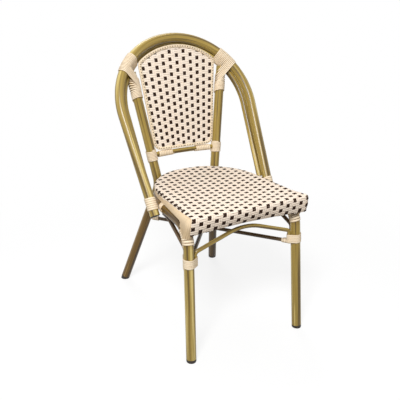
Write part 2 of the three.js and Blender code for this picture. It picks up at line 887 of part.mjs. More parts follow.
// The outline drawn in by the same width all round
function drawnIn(outline, width) {
  return outline.map((p, k) => {
    const before = outline[(k + outline.length - 1) % outline.length];
    const after = outline[(k + 1) % outline.length];
    const along = after.clone().sub(before).normalize();
    return new THREE.Vector2(p.x - along.y * width, p.y + along.x * width);
  });
}

function panelRim() {
  const plan = panelPlan();
  const rings = circle(1, 8).map((corner) => {
    const inset = (rimWidth / 2) * (1 - corner.x);
    const forward = (rimThickness / 2) * corner.y;
    return drawnIn(plan, inset).map((p) => onPanel(p.x, p.y, forward));
  });
  return ringLoft(rings);
}

function panelWeave() {
  const plan = drawnIn(panelPlan(), rimWidth + clearance);
  const [low, high] = [panelS(panelBottom), panelS(panelTop)];
  const middle = new THREE.Vector2(0, (low + high) / 2);
  const sheet = (share, forward) => plan.map((p) => {
    const spot = middle.clone().lerp(p, share);
    return onPanel(spot.x, spot.y, forward);
  });
  const face = panelSkin / 2;
  const rings = [
    sheet(1 / 2, face + panelCrown / 2),
    sheet(1, face),
    sheet(1, -face),
    sheet(1 / 2, -face - panelCrown / 2),
  ];
  const pole = (forward) => onPanel(middle.x, middle.y, forward);
  return loft(pole(face + panelCrown), rings, pole(-face - panelCrown));
}

// The rail under the panel bows backward between the posts. Its ends are cut to the round of the cord that
// binds them.
function panelRailAt(share) {
  const end = postAt(panelRailHeight);
  const reach = end.x - mainTube.radius;
  const bow = panelRailBow * (1 - share * share);
  return point(reach * share, end.y + bow, panelRailHeight);
}

function panelRailStations(from, to, steps) {
  return Array.from({ length: steps + 1 }, (_, k) => {
    return panelRailAt(THREE.MathUtils.lerp(from, to, k / steps));
  });
}

function panelRail() {
  const reach = 2 * boundRadius(mainTube.radius);
  const cut = [postAt(panelRailHeight - reach), postAt(panelRailHeight + reach)];
  const boundSides = 2 * mainTube.sides;
  const boundOut = (boundRadius(mainTube.radius) + clearance) / Math.cos(Math.PI / boundSides);
  const bound = rodAlong(cut, boundOut, boundSides);
  const otherBound = rodAlong(cut.map(mirrored), boundOut, boundSides);
  const rail = toSolid(tubeAlong(panelRailStations(1, -1, 8), panelRailTube));
  return fromSolid(rail.subtract(toSolid(bound)).subtract(toSolid(otherBound)));
}

function panelRailWrap() {
  const end = panelRailAt(1).x;
  const near = (end - panelRailBinding) / end;
  const far = (end - panelRailBinding - panelRailSleeve) / end;
  const sleeve = {
    radius: panelRailTube.radius + clearance + sleeveWall,
    bore: panelRailTube.radius + clearance,
    sides: panelRailTube.sides,
    boreSides: panelRailTube.sides,
  };
  return tubeAlong(panelRailStations(near, far, 3), sleeve);
}

// Cord lies so tight round a front knee that it is one smooth sleeve
function kneeSleeve() {
  const stations = frontKneePath(footEnd(frontFoot, frontLegWay));
  const [bottom, top] = [railHeight - kneeSleeveDrop, railHeight - kneeSleeveTopDrop];
  const sleeve = {
    radius: mainTube.radius + 2 * clearance + sleeveWall,
    bore: mainTube.radius + 2 * clearance,
    sides: mainTube.sides,
    boreSides: mainTube.sides,
  };
  return tubeAlong(betweenHeights(stations, bottom, top), sleeve);
}

// A foot glide: its stem plugs the leg's bore and its puck is cut level with the floor
function glide(foot, way) {
  const end = footEnd(foot, way);
  const below = 2 * (end.z + mainTube.radius);
  const stemRadius = mainTube.bore * Math.cos(Math.PI / mainTube.boreSides) - clearance;
  const profile = [
    [0, -below],
    [mainTube.radius, -below],
    [mainTube.radius, -clearance],
    [stemRadius, -clearance],
    [stemRadius, plugStem],
    [0, plugStem],
  ].map(([r, h]) => new THREE.Vector2(r, h));
  const body = new THREE.LatheGeometry(profile, plugSides);
  body.rotateX(Math.PI / 2);
  body.applyQuaternion(new THREE.Quaternion().setFromUnitVectors(up, way));
  body.translate(end.x, end.y, end.z);
  const floor = new THREE.BoxGeometry(2 * below, 2 * below, 2 * below);
  floor.translate(foot.x, foot.y, -below);
  return fromSolid(toSolid(facingOut(welded(body))).subtract(toSolid(welded(floor))));
}

// The plug in each open foot of the outer hoop has a shallow domed lip
function hoopPlug() {
  const end = hoopSideAt(-hoopFootDrop);
  const stemRadius = mainTube.bore * Math.cos(Math.PI / mainTube.boreSides) - clearance;
  const profile = [
    [0, -plugLip - clearance],
    [mainTube.radius / 2, -plugLip],
    [mainTube.radius, -plugLip / 2],
    [mainTube.radius, -clearance],
    [stemRadius, -clearance],
    [stemRadius, plugStem],
    [0, plugStem],
  ].map(([r, h]) => new THREE.Vector2(r, h));
  const body = new THREE.LatheGeometry(profile, plugSides);
  body.rotateX(Math.PI / 2);
  body.applyQuaternion(new THREE.Quaternion().setFromUnitVectors(up, hoopSideWay));
  body.translate(end.x, end.y, end.z);
  return facingOut(welded(body));
}

// The chair

const chair = new THREE.Group();

function add(name, geometry, colour, roughness, metalness) {
  const material = new THREE.MeshStandardMaterial({ color: colour, roughness, metalness });
  const mesh = new THREE.Mesh(facingOut(geometry), material);
  mesh.name = name;
  chair.add(mesh);
}

function addPair(name, geometry, colour, roughness, metalness) {
  const other = geometry.clone();
  other.scale(-1, 1, 1);
  add(`${name}_right`, geometry, colour, roughness, metalness);
  add(`${name}_left`, other, colour, roughness, metalness);
}

add('seat_frame_tube', seatFrameTube(), colours.bamboo, 0.4, 0.2);
addPair('back_leg', backLeg(), colours.bamboo, 0.4, 0.2);
add('outer_hoop', outerHoop(), colours.bamboo, 0.4, 0.2);
add('inner_hoop', innerHoop(), colours.bamboo, 0.4, 0.2);
add('front_rail', frontRail(), colours.shade, 0.5, 0.2);
const lowCross = crossStations(0);
const highCross = crossStations(crossLift);
add('front_arch', tubeAlong(frontArchStations(), stretcherTube), colours.bamboo, 0.4, 0.2);
addPair('side_arch', tubeAlong(sideArchStations(), stretcherTube), colours.shade, 0.5, 0.2);
add('cross_stretcher_low', tubeAlong(lowCross, stretcherTube), colours.shade, 0.5, 0.2);
add('cross_stretcher_high', tubeAlong(highCross.map(mirrored), stretcherTube), colours.shade, 0.5, 0.2);
add('panel_rail', panelRail(), colours.bamboo, 0.4, 0.2);
add('seat_ring', seatRing(), colours.shade, 0.5, 0.2);
add('seat_weave', seatWeave(), colours.strand, 0.6, 0);
add('back_panel_rim', panelRim(), colours.cord, 0.6, 0);
add('back_panel_weave', panelWeave(), colours.strand, 0.6, 0);
addPair('shoulder_winding', shoulderWinding(), colours.cord, 0.6, 0);
addPair('post_top_winding', postTopWinding(), colours.cord, 0.6, 0);
addPair('post_low_winding', postLowWinding(), colours.cord, 0.6, 0);
addPair('hoop_end_winding', hoopEndWinding(), colours.cord, 0.6, 0);
add('front_leg_wrap_right', legWrap(lowCross), colours.cord, 0.6, 0);
const leftWrap = legWrap(highCross);
leftWrap.scale(-1, 1, 1);
add('front_leg_wrap_left', leftWrap, colours.cord, 0.6, 0);
addPair('knee_sleeve', kneeSleeve(), colours.cord, 0.6, 0);
addPair('panel_rail_sleeve', panelRailWrap(), colours.cord, 0.6, 0);
addPair('front_glide', glide(frontFoot, frontLegWay), colours.plug, 0.7, 0);
addPair('rear_glide', glide(rearFoot, rearLegWay), colours.plug, 0.7, 0);
addPair('hoop_plug', hoopPlug(), colours.plug, 0.6, 0);

// The chair's own origin is the middle of its plan, on the floor
const extent = new THREE.Box3().setFromObject(chair);
chair.position.y = -(extent.min.y + extent.max.y) / 2;

export default chair;
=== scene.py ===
import math

import bpy
import bmesh
import numpy as np
from mathutils import Matrix, Quaternion, Vector


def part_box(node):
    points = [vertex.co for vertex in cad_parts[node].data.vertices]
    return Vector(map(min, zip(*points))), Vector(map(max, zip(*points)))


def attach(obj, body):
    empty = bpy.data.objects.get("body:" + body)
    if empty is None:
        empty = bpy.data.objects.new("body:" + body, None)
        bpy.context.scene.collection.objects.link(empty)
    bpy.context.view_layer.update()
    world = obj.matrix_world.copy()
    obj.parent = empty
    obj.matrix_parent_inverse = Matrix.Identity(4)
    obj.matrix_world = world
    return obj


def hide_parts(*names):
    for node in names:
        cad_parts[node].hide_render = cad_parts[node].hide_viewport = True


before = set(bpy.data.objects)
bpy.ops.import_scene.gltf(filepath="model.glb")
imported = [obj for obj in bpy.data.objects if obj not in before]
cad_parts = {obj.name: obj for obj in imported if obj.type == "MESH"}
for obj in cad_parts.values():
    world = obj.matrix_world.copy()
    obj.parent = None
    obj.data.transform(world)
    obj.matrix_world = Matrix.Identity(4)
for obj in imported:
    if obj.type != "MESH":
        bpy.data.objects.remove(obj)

bl_info = {
    "name": "Bistro chair looks",
    "version": (1, 0, 0),
    "blender": (4, 5, 0),
    "location": "View3D > Sidebar > Bistro Chair",
    "description": "Builds the tubes, woven seat and panel, cord bindings and stage of a bistro chair",
    "category": "Object",
}

BODY = "root"
UP = np.array([0.0, 0.0, 1.0])
SIDEWARD = np.array([1.0, 0.0, 0.0])
BACKWARD = np.array([0.0, 1.0, 0.0])

# Places below are in millimetres from the floor under the chair's drawing origin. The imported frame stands
# a little further forward, by as much as its front rail does.
FRONT_RAIL_Y = -163.0
_rail_low, _rail_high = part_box("front_rail")
FRAME_SHIFT = (_rail_low.y + _rail_high.y) * 500.0 - FRONT_RAIL_Y

# Sizes of the frame. A tube's size is its radius.
TUBE = 15.0
INNER_TUBE = 10.0
RAIL_TUBE = 11.0
PANEL_RAIL_TUBE = 8.0
STRETCHER = 6.0
CLEAR = 0.3
CORD_TURN = 5.3
RAIL_HEIGHT = 407.0
FRONT_FOOT = np.array([191.0, -245.0, 0.0])
FRONT_KNEE = np.array([181.0, -206.0, RAIL_HEIGHT])
KNEE_BEND = 65.0
RAIL_HALF = 173.5
RAIL_BACK_Y = -30.0
RAIL_BACK_REACH = 196.0
RAIL_BACK_STEPS = 48
REAR_FOOT = np.array([187.0, 308.0, 0.0])
WAIST_ANGLE = math.radians(58.8)
WAIST_BEND = 80.0
CHAIR_HEIGHT = 880.0
HOOP_RAKE = math.radians(32.7)
HOOP_HALF = 230.0
HOOP_RISE = 233.0
HOOP_STEPS = 72
HOOP_FOOT_Y = -27.0
HOOP_FOOT_DROP = 23.0
HOOP_END_BOUND = 7 * CORD_TURN
HOOP_END_LOW = -4.0
NEST_ROLL_SIDE = math.radians(42)
NEST_ROLL_TOP = math.radians(62)
POST_TOP_ANGLE = math.radians(40.0)
POST_TOP_FORWARD = 5.0
POST_TOP_GAP = 8.0
SHOULDER_ANGLE = math.radians(39.9)
BOUND_TUBE = 19.87
GLIDE_HEIGHT = 7.0
ARCH_HEIGHT = 292.0
ARCH_BEND = 14.0
FRONT_ARCH_KNEE = 333.0
FRONT_ARCH_TOP = 388.0
FRONT_ARCH_BEND = 160.0
SIDE_ARCH_KNEE = 342.0
SIDE_ARCH_BEND = 65.0
SIDE_ARCH_END = (-66.0, -30.0)
CROSS_REAR_HEIGHT = 277.0
CROSS_LIFT = 2 * STRETCHER + CLEAR
BUTT_DEPTH = 1.0
PANEL_RAIL_HEIGHT = 505.0
PANEL_RAIL_BOW = 9.0
PANEL_RAIL_STEPS = 12

# The chair's sides, with the sign of a place's distance from the middle
SIDES = (("right", 1.0), ("left", -1.0))


def place(p):
    """A drawing place in millimetres as a place in the frame in metres."""
    return Vector((p[0] / 1000, (p[1] + FRAME_SHIFT) / 1000, p[2] / 1000))


def unit(v):
    return v / np.linalg.norm(v)


def mirror(p):
    return np.array([-p[0], *p[1:]])


def sided(p, side):
    return p if side > 0 else mirror(p)


def lerp(a, b, share):
    return a + (b - a) * share


def smooth(share):
    share = min(max(share, 0.0), 1.0)
    return share * share * (3 - 2 * share)


def eased(value, start, end):
    """Goes smoothly from 0 where the value is at the start to 1 where it is at the end."""
    return smooth((value - start) / (end - start))


def straight(a, b, count):
    """Places from a up to b, without b."""
    return [lerp(np.array(a), np.array(b), k / count) for k in range(count)]


def curved(a, b, c, count):
    """Places from a up to c, without c, on the curve that turns at the corner b."""
    a, b, c = (np.array(p) for p in (a, b, c))
    return [a * (1 - t) ** 2 + 2 * b * t * (1 - t) + c * t * t for t in (k / count for k in range(count))]


def lengths_along(points):
    """How far along a line each of its places lies."""
    steps = [np.linalg.norm(b - a) for a, b in zip(points, points[1:])]
    return np.concatenate([[0], np.cumsum(steps)])


def spot_on(points, lengths, run):
    """The place at a distance along a line, of as many numbers as the line's places have."""
    stack = np.array(points)
    return np.array([np.interp(run, lengths, stack[:, a]) for a in range(stack.shape[1])])


def along_at(points, k):
    """The way a line runs at one of its places."""
    return unit(points[min(k + 1, len(points) - 1)] - points[max(k - 1, 0)])


def whole_outline(half):
    """An outline from its right half, which starts and ends in the middle."""
    return half + [mirror(p) for p in reversed(half[1:-1])]


def bent(corners, radii, step=math.radians(5)):
    """A line through corners, each inner corner rounded with its own radius."""
    out = [corners[0]]
    for before, corner, after, radius in zip(corners, corners[1:], corners[2:], radii):
        to_before, to_after = unit(before - corner), unit(after - corner)
        half = math.acos(np.clip(to_before @ to_after, -1, 1)) / 2
        sweep = math.pi - 2 * half
        centre = corner + unit(to_before + to_after) * radius / math.sin(half)
        spoke = corner + to_before * radius / math.tan(half) - centre
        axis = Vector(unit(np.cross(to_after, to_before)))
        steps = max(2, math.ceil(sweep / step))
        for k in range(steps + 1):
            turned = Matrix.Rotation(sweep * k / steps, 3, axis) @ Vector(spoke)
            out.append(centre + np.array(turned))
    out.append(corners[-1])
    return out


def on_line(start, way, height):
    return start + way * (height - start[2]) / way[2]


# The lines of the frame's tubes

FRONT_LEG_WAY = unit(FRONT_KNEE - FRONT_FOOT)


def front_leg_at(height):
    return on_line(FRONT_FOOT, FRONT_LEG_WAY, height)


def foot_end(foot, way):
    return on_line(foot, way, GLIDE_HEIGHT + TUBE * math.sin(math.acos(way[2])))


def rail_back_at(angle):
    back = RAIL_BACK_Y + RAIL_BACK_REACH * math.sin(angle)
    return np.array([RAIL_HALF * math.cos(angle), back, RAIL_HEIGHT])


def knee_line():
    return bent([foot_end(FRONT_FOOT, FRONT_LEG_WAY), FRONT_KNEE, rail_back_at(0)], [KNEE_BEND])


def seat_frame_line():
    right = knee_line()
    back = [rail_back_at(math.pi * k / RAIL_BACK_STEPS) for k in range(1, RAIL_BACK_STEPS)]
    return right + back + [mirror(p) for p in reversed(right)]


def rail_x_at(y):
    share = (y - FRONT_KNEE[1]) / (RAIL_BACK_Y - FRONT_KNEE[1])
    if share <= 1:
        return lerp(FRONT_KNEE[0], RAIL_HALF, share)
    return RAIL_HALF * math.sqrt(1 - ((y - RAIL_BACK_Y) / RAIL_BACK_REACH) ** 2)


RAKE_UP = np.array([0.0, math.sin(HOOP_RAKE), math.cos(HOOP_RAKE)])
RAKE_BACK = np.array([0.0, math.cos(HOOP_RAKE), -math.sin(HOOP_RAKE)])
HOOP_FOOT_X = rail_x_at(HOOP_FOOT_Y) + TUBE + BOUND_TUBE
HOOP_CENTRE_S = (CHAIR_HEIGHT - TUBE - HOOP_RISE * RAKE_UP[2] - RAIL_HEIGHT) / RAKE_UP[2]
_across = HOOP_CENTRE_S * HOOP_HALF / HOOP_RISE
HOOP_LEAN = math.atan2(_across, HOOP_FOOT_X) - math.acos(HOOP_HALF / math.hypot(_across, HOOP_FOOT_X))
HOOP_NEST = TUBE + INNER_TUBE + CLEAR


def on_rake(x, s):
    return np.array([x, HOOP_FOOT_Y, RAIL_HEIGHT]) + RAKE_UP * s


def hoop_at(angle):
    return on_rake(HOOP_HALF * math.cos(angle), HOOP_CENTRE_S + HOOP_RISE * math.sin(angle))


def hoop_outward(angle):
    return unit(np.array([HOOP_RISE * math.cos(angle), 0, 0]) + RAKE_UP * HOOP_HALF * math.sin(angle))


HOOP_SIDE_WAY = unit(hoop_at(-HOOP_LEAN) - on_rake(HOOP_FOOT_X, 0))
HOOP_ANGLES = [lerp(-HOOP_LEAN, math.pi + HOOP_LEAN, k / HOOP_STEPS) for k in range(HOOP_STEPS + 1)]


def hoop_side_at(s):
    return on_rake(HOOP_FOOT_X, 0) + HOOP_SIDE_WAY * s


def nest_offset(outward, roll):
    return -outward * HOOP_NEST * math.cos(roll) + RAKE_BACK * HOOP_NEST * math.sin(roll)


def inner_hoop_at(angle):
    roll = lerp(NEST_ROLL_SIDE, NEST_ROLL_TOP, math.sin(angle) ** 2)
    return hoop_at(angle) + nest_offset(hoop_outward(angle), roll)


def outer_hoop_line():
    foot = hoop_side_at(-HOOP_FOOT_DROP)
    return [foot] + [hoop_at(a) for a in HOOP_ANGLES] + [mirror(foot)]


def inner_hoop_line():
    foot = hoop_side_at(HOOP_END_LOW + HOOP_END_BOUND + INNER_TUBE)
    foot = foot + nest_offset(hoop_outward(-HOOP_LEAN), NEST_ROLL_TOP)
    return [foot] + [inner_hoop_at(a) for a in HOOP_ANGLES] + [mirror(foot)]


POST_TOP = inner_hoop_at(POST_TOP_ANGLE) - np.array([0, POST_TOP_FORWARD, 0])


def waist_corner():
    normal = unit(np.array([RAIL_BACK_REACH * math.cos(WAIST_ANGLE), RAIL_HALF * math.sin(WAIST_ANGLE), 0]))
    waist = rail_back_at(WAIST_ANGLE) + normal * (2 * TUBE + CLEAR)
    to_foot, to_top = unit(REAR_FOOT - waist), unit(POST_TOP - waist)
    half = math.acos(to_foot @ to_top) / 2
    return waist - unit(to_foot + to_top) * WAIST_BEND * (1 / math.sin(half) - 1)


WAIST = waist_corner()
REAR_LEG_WAY = unit(WAIST - REAR_FOOT)
POST_WAY = unit(POST_TOP - WAIST)


def rear_leg_at(height):
    return on_line(REAR_FOOT, REAR_LEG_WAY, height)


def post_at(height):
    return on_line(WAIST, POST_WAY, height)


def back_leg_line():
    return bent([foot_end(REAR_FOOT, REAR_LEG_WAY), WAIST, POST_TOP - POST_WAY * POST_TOP_GAP], [WAIST_BEND])


ARCH_SEAT = TUBE + STRETCHER + CLEAR
ARCH_TURN = math.radians(10)
FRONT_ARCH_SEAT = np.array([-ARCH_SEAT * math.cos(ARCH_TURN), ARCH_SEAT * math.sin(ARCH_TURN), 0])


def front_arch_line():
    end, knee = (front_leg_at(height) + FRONT_ARCH_SEAT for height in (ARCH_HEIGHT, FRONT_ARCH_KNEE))
    top = np.array([0, knee[1], FRONT_ARCH_TOP])
    return bent([end, knee, top, mirror(knee), mirror(end)], [ARCH_BEND, FRONT_ARCH_BEND, ARCH_BEND])


def side_arch_line():
    behind = np.array([0, ARCH_SEAT, 0])
    leg = [front_leg_at(height) + behind for height in (ARCH_HEIGHT, SIDE_ARCH_KNEE)]
    rail = [np.array([rail_x_at(y), y, RAIL_HEIGHT - ARCH_SEAT]) for y in SIDE_ARCH_END]
    return bent(leg + rail, [ARCH_BEND, SIDE_ARCH_BEND])


def cross_line(lift):
    front, rear = front_leg_at(ARCH_HEIGHT + lift), mirror(rear_leg_at(CROSS_REAR_HEIGHT + lift))
    way = unit(rear - front)

    def butt(leg_way):
        slant = math.acos(abs(way @ leg_way))
        return (TUBE - BUTT_DEPTH + STRETCHER * abs(math.cos(slant))) / math.sin(slant)

    return [front + way * butt(FRONT_LEG_WAY), rear - way * butt(mirror(REAR_LEG_WAY))]


def panel_rail_at(share):
    end = post_at(PANEL_RAIL_HEIGHT)
    bow = PANEL_RAIL_BOW * (1 - share * share)
    return np.array([(end[0] - TUBE) * share, end[1] + bow, PANEL_RAIL_HEIGHT])


def front_rail_line():
    reach = rail_x_at(FRONT_RAIL_Y) - TUBE - 2 * CLEAR
    right = np.array([reach, FRONT_RAIL_Y, RAIL_HEIGHT + TUBE - RAIL_TUBE])
    return [right, mirror(right)]


# The seat's shape

SEAT_SAG = 5.0
SAG_INSET = 26.5
SEAT_HALF = 211.0
SEAT_FRONT_Y = -235.0
SEAT_BOW = 2.0
SEAT_CORNER = 18.0
SEAT_BACK_Y = 172.0
SEAT_BACK_RADIUS = 176.5
SEAT_PLAN_COUNTS = (8, 8, 10, 30)
SKIRT_BACK_Y = -203.0
SKIRT_FRONT_Y = -224.0
APRON_BOTTOM = 393.0
TUCK_MIDDLE = 14.0
TUCK_SIDE = 7.0
CORNER_Y = SEAT_FRONT_Y + SEAT_CORNER


def seat_plan(inset=0.0):
    """The seat's outline from the middle of its front, round its right side, back to the front."""
    corner_x, front_y = SEAT_HALF - inset, SEAT_FRONT_Y + inset
    corner = max(SEAT_CORNER - inset, CLEAR)
    radius = SEAT_BACK_RADIUS - inset
    centre = np.array([0, SEAT_BACK_Y - SEAT_BACK_RADIUS])
    side = np.array([corner_x, front_y + corner])
    way = side - centre
    turn = math.atan2(way[1], way[0]) + math.acos(radius / np.linalg.norm(way))
    start = (corner_x - corner, front_y)
    tangent = centre + radius * np.array([math.cos(turn), math.sin(turn)])
    front, round_corner, along_side, back = SEAT_PLAN_COUNTS
    half = curved((0, front_y - SEAT_BOW), (start[0] / 2, front_y - SEAT_BOW), start, front)
    half += curved(start, (corner_x, front_y), side, round_corner)
    half += straight(side, tangent, along_side)
    for k in range(back + 1):
        angle = lerp(turn, math.pi / 2, k / back)
        half.append(centre + radius * np.array([math.cos(angle), math.sin(angle)]))
    return whole_outline(half)


def skirt_fall(y):
    return eased(y, SKIRT_BACK_Y, SKIRT_FRONT_Y)


def skirt_tuck(x, y):
    return skirt_fall(y) * lerp(TUCK_MIDDLE, TUCK_SIDE, min(abs(x) / FRONT_KNEE[0], 1))


_sag_plan = [(p[0], p[1] - RAIL_BACK_Y) for p in seat_plan(SAG_INSET) if p[0] >= 0]
SAG_ANGLES = [math.atan2(y, x) for x, y in _sag_plan]
SAG_REACHES = [math.hypot(x, y) for x, y in _sag_plan]


def seat_reach(x, y):
    """How far out a place on the seat's top lies, from 0 at the middle to 1 where the sag ends."""
    length = math.hypot(x, y - RAIL_BACK_Y)
    angle = math.atan2(y - RAIL_BACK_Y, abs(x))
    return min(length / float(np.interp(angle, SAG_ANGLES, SAG_REACHES)), 1.0)


def seat_height(x, y):
    return WEAVE_TOP - SEAT_SAG * (1 - seat_reach(x, y) ** 2)


# The woven seat's surface. The weave sits a little to the right of the frame's middle, so the left side
# comes in and slopes more towards the front. A run is measured along a strand that goes from front to back.
WEAVE_SHIFT = 14.2
WEAVE_TOP = 445.8
ROW_START = -10.8
APRON_SKEW = (5.0, 1.5)
APRON_SKEW_RUN = 24.0
APRON_SHORTER = 1.0
APRON_DIP = 6.0
APRON_DIP_HALF = 195.0
FRONT_ROUND = 10.0
SIDE_ROUND = 6.0
SIDE_ROUND_RUN = 70.0
CREST_PITCH = 2.0
SIDE_CREST = 14.0
SIDE_CREST_Y = -150.0
BACK_CREST = 7.0
SIDE_FOOT = 424.5
LEFT_CREST_BACK = 176.5
LEFT_CREST_FRONT = 171.0
LEFT_CREST_Y = (-50.0, -180.0)
LEFT_EDGE = 178.4
LEFT_EDGE_SLOPE = 0.079
LEFT_LIMIT_Y = -60.0
LEFT_MARGIN = -182.0
RIGHT_MARGIN = 208.0
LEFT_SHARE = 0.927
WEAVE_OVERHANG = 10.6
LENGTHWISE_SHORTER = 2.0
LENGTHWISE_STEP = 1.5
ACROSS_SHORTER = 0.5
WRAP_UNDER = 2.5
WRAP_LEFT = LEFT_MARGIN + 1.5
WRAP_RIGHT = RIGHT_MARGIN - 2.0
WRAP_FRONT = SEAT_FRONT_Y + 6.0
FRONT_ROWS_RUN = 8.0
APRON_INSETS = (4.0, 14.0)
WRAP_START_LIFT = -1.4
KNEE_WRAP_Y = -203.0
KNEE_WRAP_OUT = 2.2
KNEE_WRAP_RISE = 0.5
KNEE_FALL_Y = (-176.0, -190.0)
KNEE_LOW = 330.0
SEAT_COLUMNS = 18
SHORTEST_ROW = 4
ROW_ABOVE_FOOT = 1.0
EDGE_PITCH = 6.0
STRAND_SLACK = 0.15
STRAND_GAP = 0.25

SEAT_PLAN = seat_plan()
FRONT_X, FRONT_Y = zip(*SEAT_PLAN[:sum(SEAT_PLAN_COUNTS[:2]) + 1])
_half_plan = sorted((p for p in SEAT_PLAN if p[0] >= 0), key=lambda p: p[1])
PLAN_X, PLAN_Y = zip(*_half_plan)


def seat_half(y):
    return float(np.interp(max(y, CORNER_Y), PLAN_Y, PLAN_X))


def narrowed(x, y):
    """Draws a place on the left in, the more so the nearer it is to the front."""
    if x >= 0:
        return x
    return x * min(1.0, (LEFT_EDGE - LEFT_EDGE_SLOPE * max(y, CORNER_Y)) / seat_half(y))


def front_edge(x):
    """How far forward the seat comes at a distance from its middle."""
    return float(np.interp(abs(x) / (LEFT_SHARE if x < 0 else 1.0), FRONT_X, FRONT_Y))


def seat_edge():
    """The rounded edge from the right front corner round the back to the left one: crest and foot places."""
    out = []
    for k in range(SEAT_PLAN_COUNTS[0], len(SEAT_PLAN) - SEAT_PLAN_COUNTS[0] + 1):
        x, y = SEAT_PLAN[k]
        along = unit(SEAT_PLAN[(k + 1) % len(SEAT_PLAN)] - SEAT_PLAN[k - 1])
        foot = np.array([narrowed(x, y), y])
        inset = lerp(BACK_CREST, SIDE_CREST, eased(y, 0.0, SIDE_CREST_Y))
        if x < 0:
            crest = lerp(LEFT_CREST_BACK, LEFT_CREST_FRONT, eased(y, *LEFT_CREST_Y))
            inset = max(abs(foot[0]) - crest, BACK_CREST)
        inset = lerp(inset, FRONT_ROUND, eased(y, CORNER_Y, SEAT_FRONT_Y))
        out.append((foot + np.array([-along[1], along[0]]) * inset, foot))
    return out


def evenly(pairs, pitch):
    """Pairs of places spread evenly along the second of each pair."""
    crests, feet = zip(*pairs)
    lengths = lengths_along(feet)
    runs = np.linspace(0, lengths[-1], int(lengths[-1] / pitch) + 1)
    return [(spot_on(crests, lengths, run), spot_on(feet, lengths, run)) for run in runs]


EDGE = seat_edge()
_fine_edge = evenly(EDGE, CREST_PITCH)
CREST_PLACES = np.array([crest for crest, foot in _fine_edge])
CREST_OUT = np.array([unit(foot - crest) for crest, foot in _fine_edge])
CREST_REACH = np.array([np.linalg.norm(foot - crest) for crest, foot in _fine_edge])


def past_crest(x, y):
    """How far a place lies beyond the seat's crest, and the nearest of the crest's places."""
    gaps = np.array([x, y]) - CREST_PLACES
    near = int(np.argmin((gaps ** 2).sum(1)))
    return float(gaps[near] @ CREST_OUT[near]), near


def rolled(x, y, lift):
    """A place on the seat's top with a lift off it, rolled down over the edge past the crest."""
    past, near = past_crest(x, y)
    if past <= 0:
        return np.array([x, y, seat_height(x, y) + lift]), UP
    out = CREST_OUT[near]
    base = np.array([x, y]) - out * past
    lean = math.atan2(max(CREST_REACH[near] - SIDE_ROUND, 0), WEAVE_TOP - SIDE_ROUND - SIDE_FOOT)
    turn = min(past / SIDE_ROUND, math.pi / 2 - lean)
    down = max(past - SIDE_ROUND * turn, 0.0)
    look = np.array([*(out * math.sin(turn)), math.cos(turn)])
    way = np.array([*(out * math.sin(lean)), -math.cos(lean)])
    centre = np.array([*base, WEAVE_TOP - SIDE_ROUND])
    return centre + look * (SIDE_ROUND + lift) + way * down, look


def on_seat(x, run, lift):
    """A place on the weave: run is 0 where the front edge's rounding starts, positive to the back."""
    if run < 0:
        x -= float(np.interp(x, (LEFT_MARGIN, RIGHT_MARGIN), APRON_SKEW)) * eased(run, 0.0, -APRON_SKEW_RUN)
    front = front_edge(x)
    if run >= 0:
        y = front + FRONT_ROUND + run
        p, look = rolled(x, y, lift)
        share = eased(run, 0.0, SIDE_ROUND_RUN)
        flat = np.array([x, y, seat_height(x, y) + lift])
        return lerp(flat, p, share), unit(lerp(UP, look, share))
    turn = min(-run / FRONT_ROUND, math.pi / 2)
    look = np.array([0, -math.sin(turn), math.cos(turn)])
    centre = np.array([x, front + FRONT_ROUND, WEAVE_TOP - FRONT_ROUND])
    drop = -run - FRONT_ROUND * turn
    if drop <= 0:
        return centre + look * (FRONT_ROUND + lift), look
    total = WEAVE_TOP - FRONT_ROUND - apron_foot(x)
    share, tuck = drop / total, skirt_tuck(x, front)
    look = unit(np.array([0, -1.0, -2 * tuck * share / total]))
    return np.array([x, front + tuck * share * share, WEAVE_TOP - FRONT_ROUND - drop]) + look * lift, look


def apron_foot(x):
    return APRON_BOTTOM + APRON_DIP * (1 - min(abs(x) / APRON_DIP_HALF, 1.0) ** 2)


def apron_length(x):
    return FRONT_ROUND * math.pi / 2 + WEAVE_TOP - FRONT_ROUND - apron_foot(x) - APRON_SHORTER


def weave_back(x):
    """How far back a strand that runs lengthwise goes before it meets the edge's wraps."""
    last = None
    for y in np.arange(front_edge(x) + FRONT_ROUND, SEAT_BACK_Y, LENGTHWISE_STEP):
        if past_crest(x, y)[0] > WEAVE_OVERHANG - LENGTHWISE_SHORTER:
            break
        last = float(y)
    return last


def weave_reach(run, side):
    """How far to a side a strand that runs across goes before it meets the edge's wraps."""
    y = SEAT_FRONT_Y + FRONT_ROUND + run
    if run < FRONT_ROWS_RUN:
        half, (right, left) = seat_half(CORNER_Y), APRON_INSETS
        return half * LEFT_SHARE - left if side < 0 else half - right
    if y > SEAT_BACK_Y - BACK_CREST:
        return None
    x = 0.0
    limit = 1.0 - LEFT_MARGIN if side < 0 and y < LEFT_LIMIT_Y else RIGHT_MARGIN
    while x < limit and past_crest(side * x, y)[0] < WEAVE_OVERHANG - ACROSS_SHORTER:
        x += 1.0
    return x


def edge_start(crest, foot):
    """Where an edge wrap comes out from under the weave."""
    x, y = crest + unit(foot - crest) * (WEAVE_OVERHANG - WRAP_UNDER)
    if x < 0 and y < LEFT_LIMIT_Y:
        x = WRAP_LEFT
    x, y = min(x, WRAP_RIGHT), max(y, WRAP_FRONT)
    start = on_seat(x, max(y - front_edge(x) - FRONT_ROUND, 0.0), WRAP_START_LIFT)[0]
    return np.array([start[0], y, start[2]])


KNEE = np.array([p for p in knee_line() if p[2] > KNEE_LOW])


def on_knee(foot, out):
    """The place on the knee's sleeve that an edge wrap comes down to."""
    y = max(foot[1], KNEE_WRAP_Y)
    x, z = (np.interp(y, KNEE[:, 1], KNEE[:, a]) for a in (0, 2))
    way = unit(np.array([*out, KNEE_WRAP_RISE]))
    return np.array([x * np.sign(foot[0]), y, z]) + way * (TUBE + KNEE_WRAP_OUT)


# The back panel's plane and outline

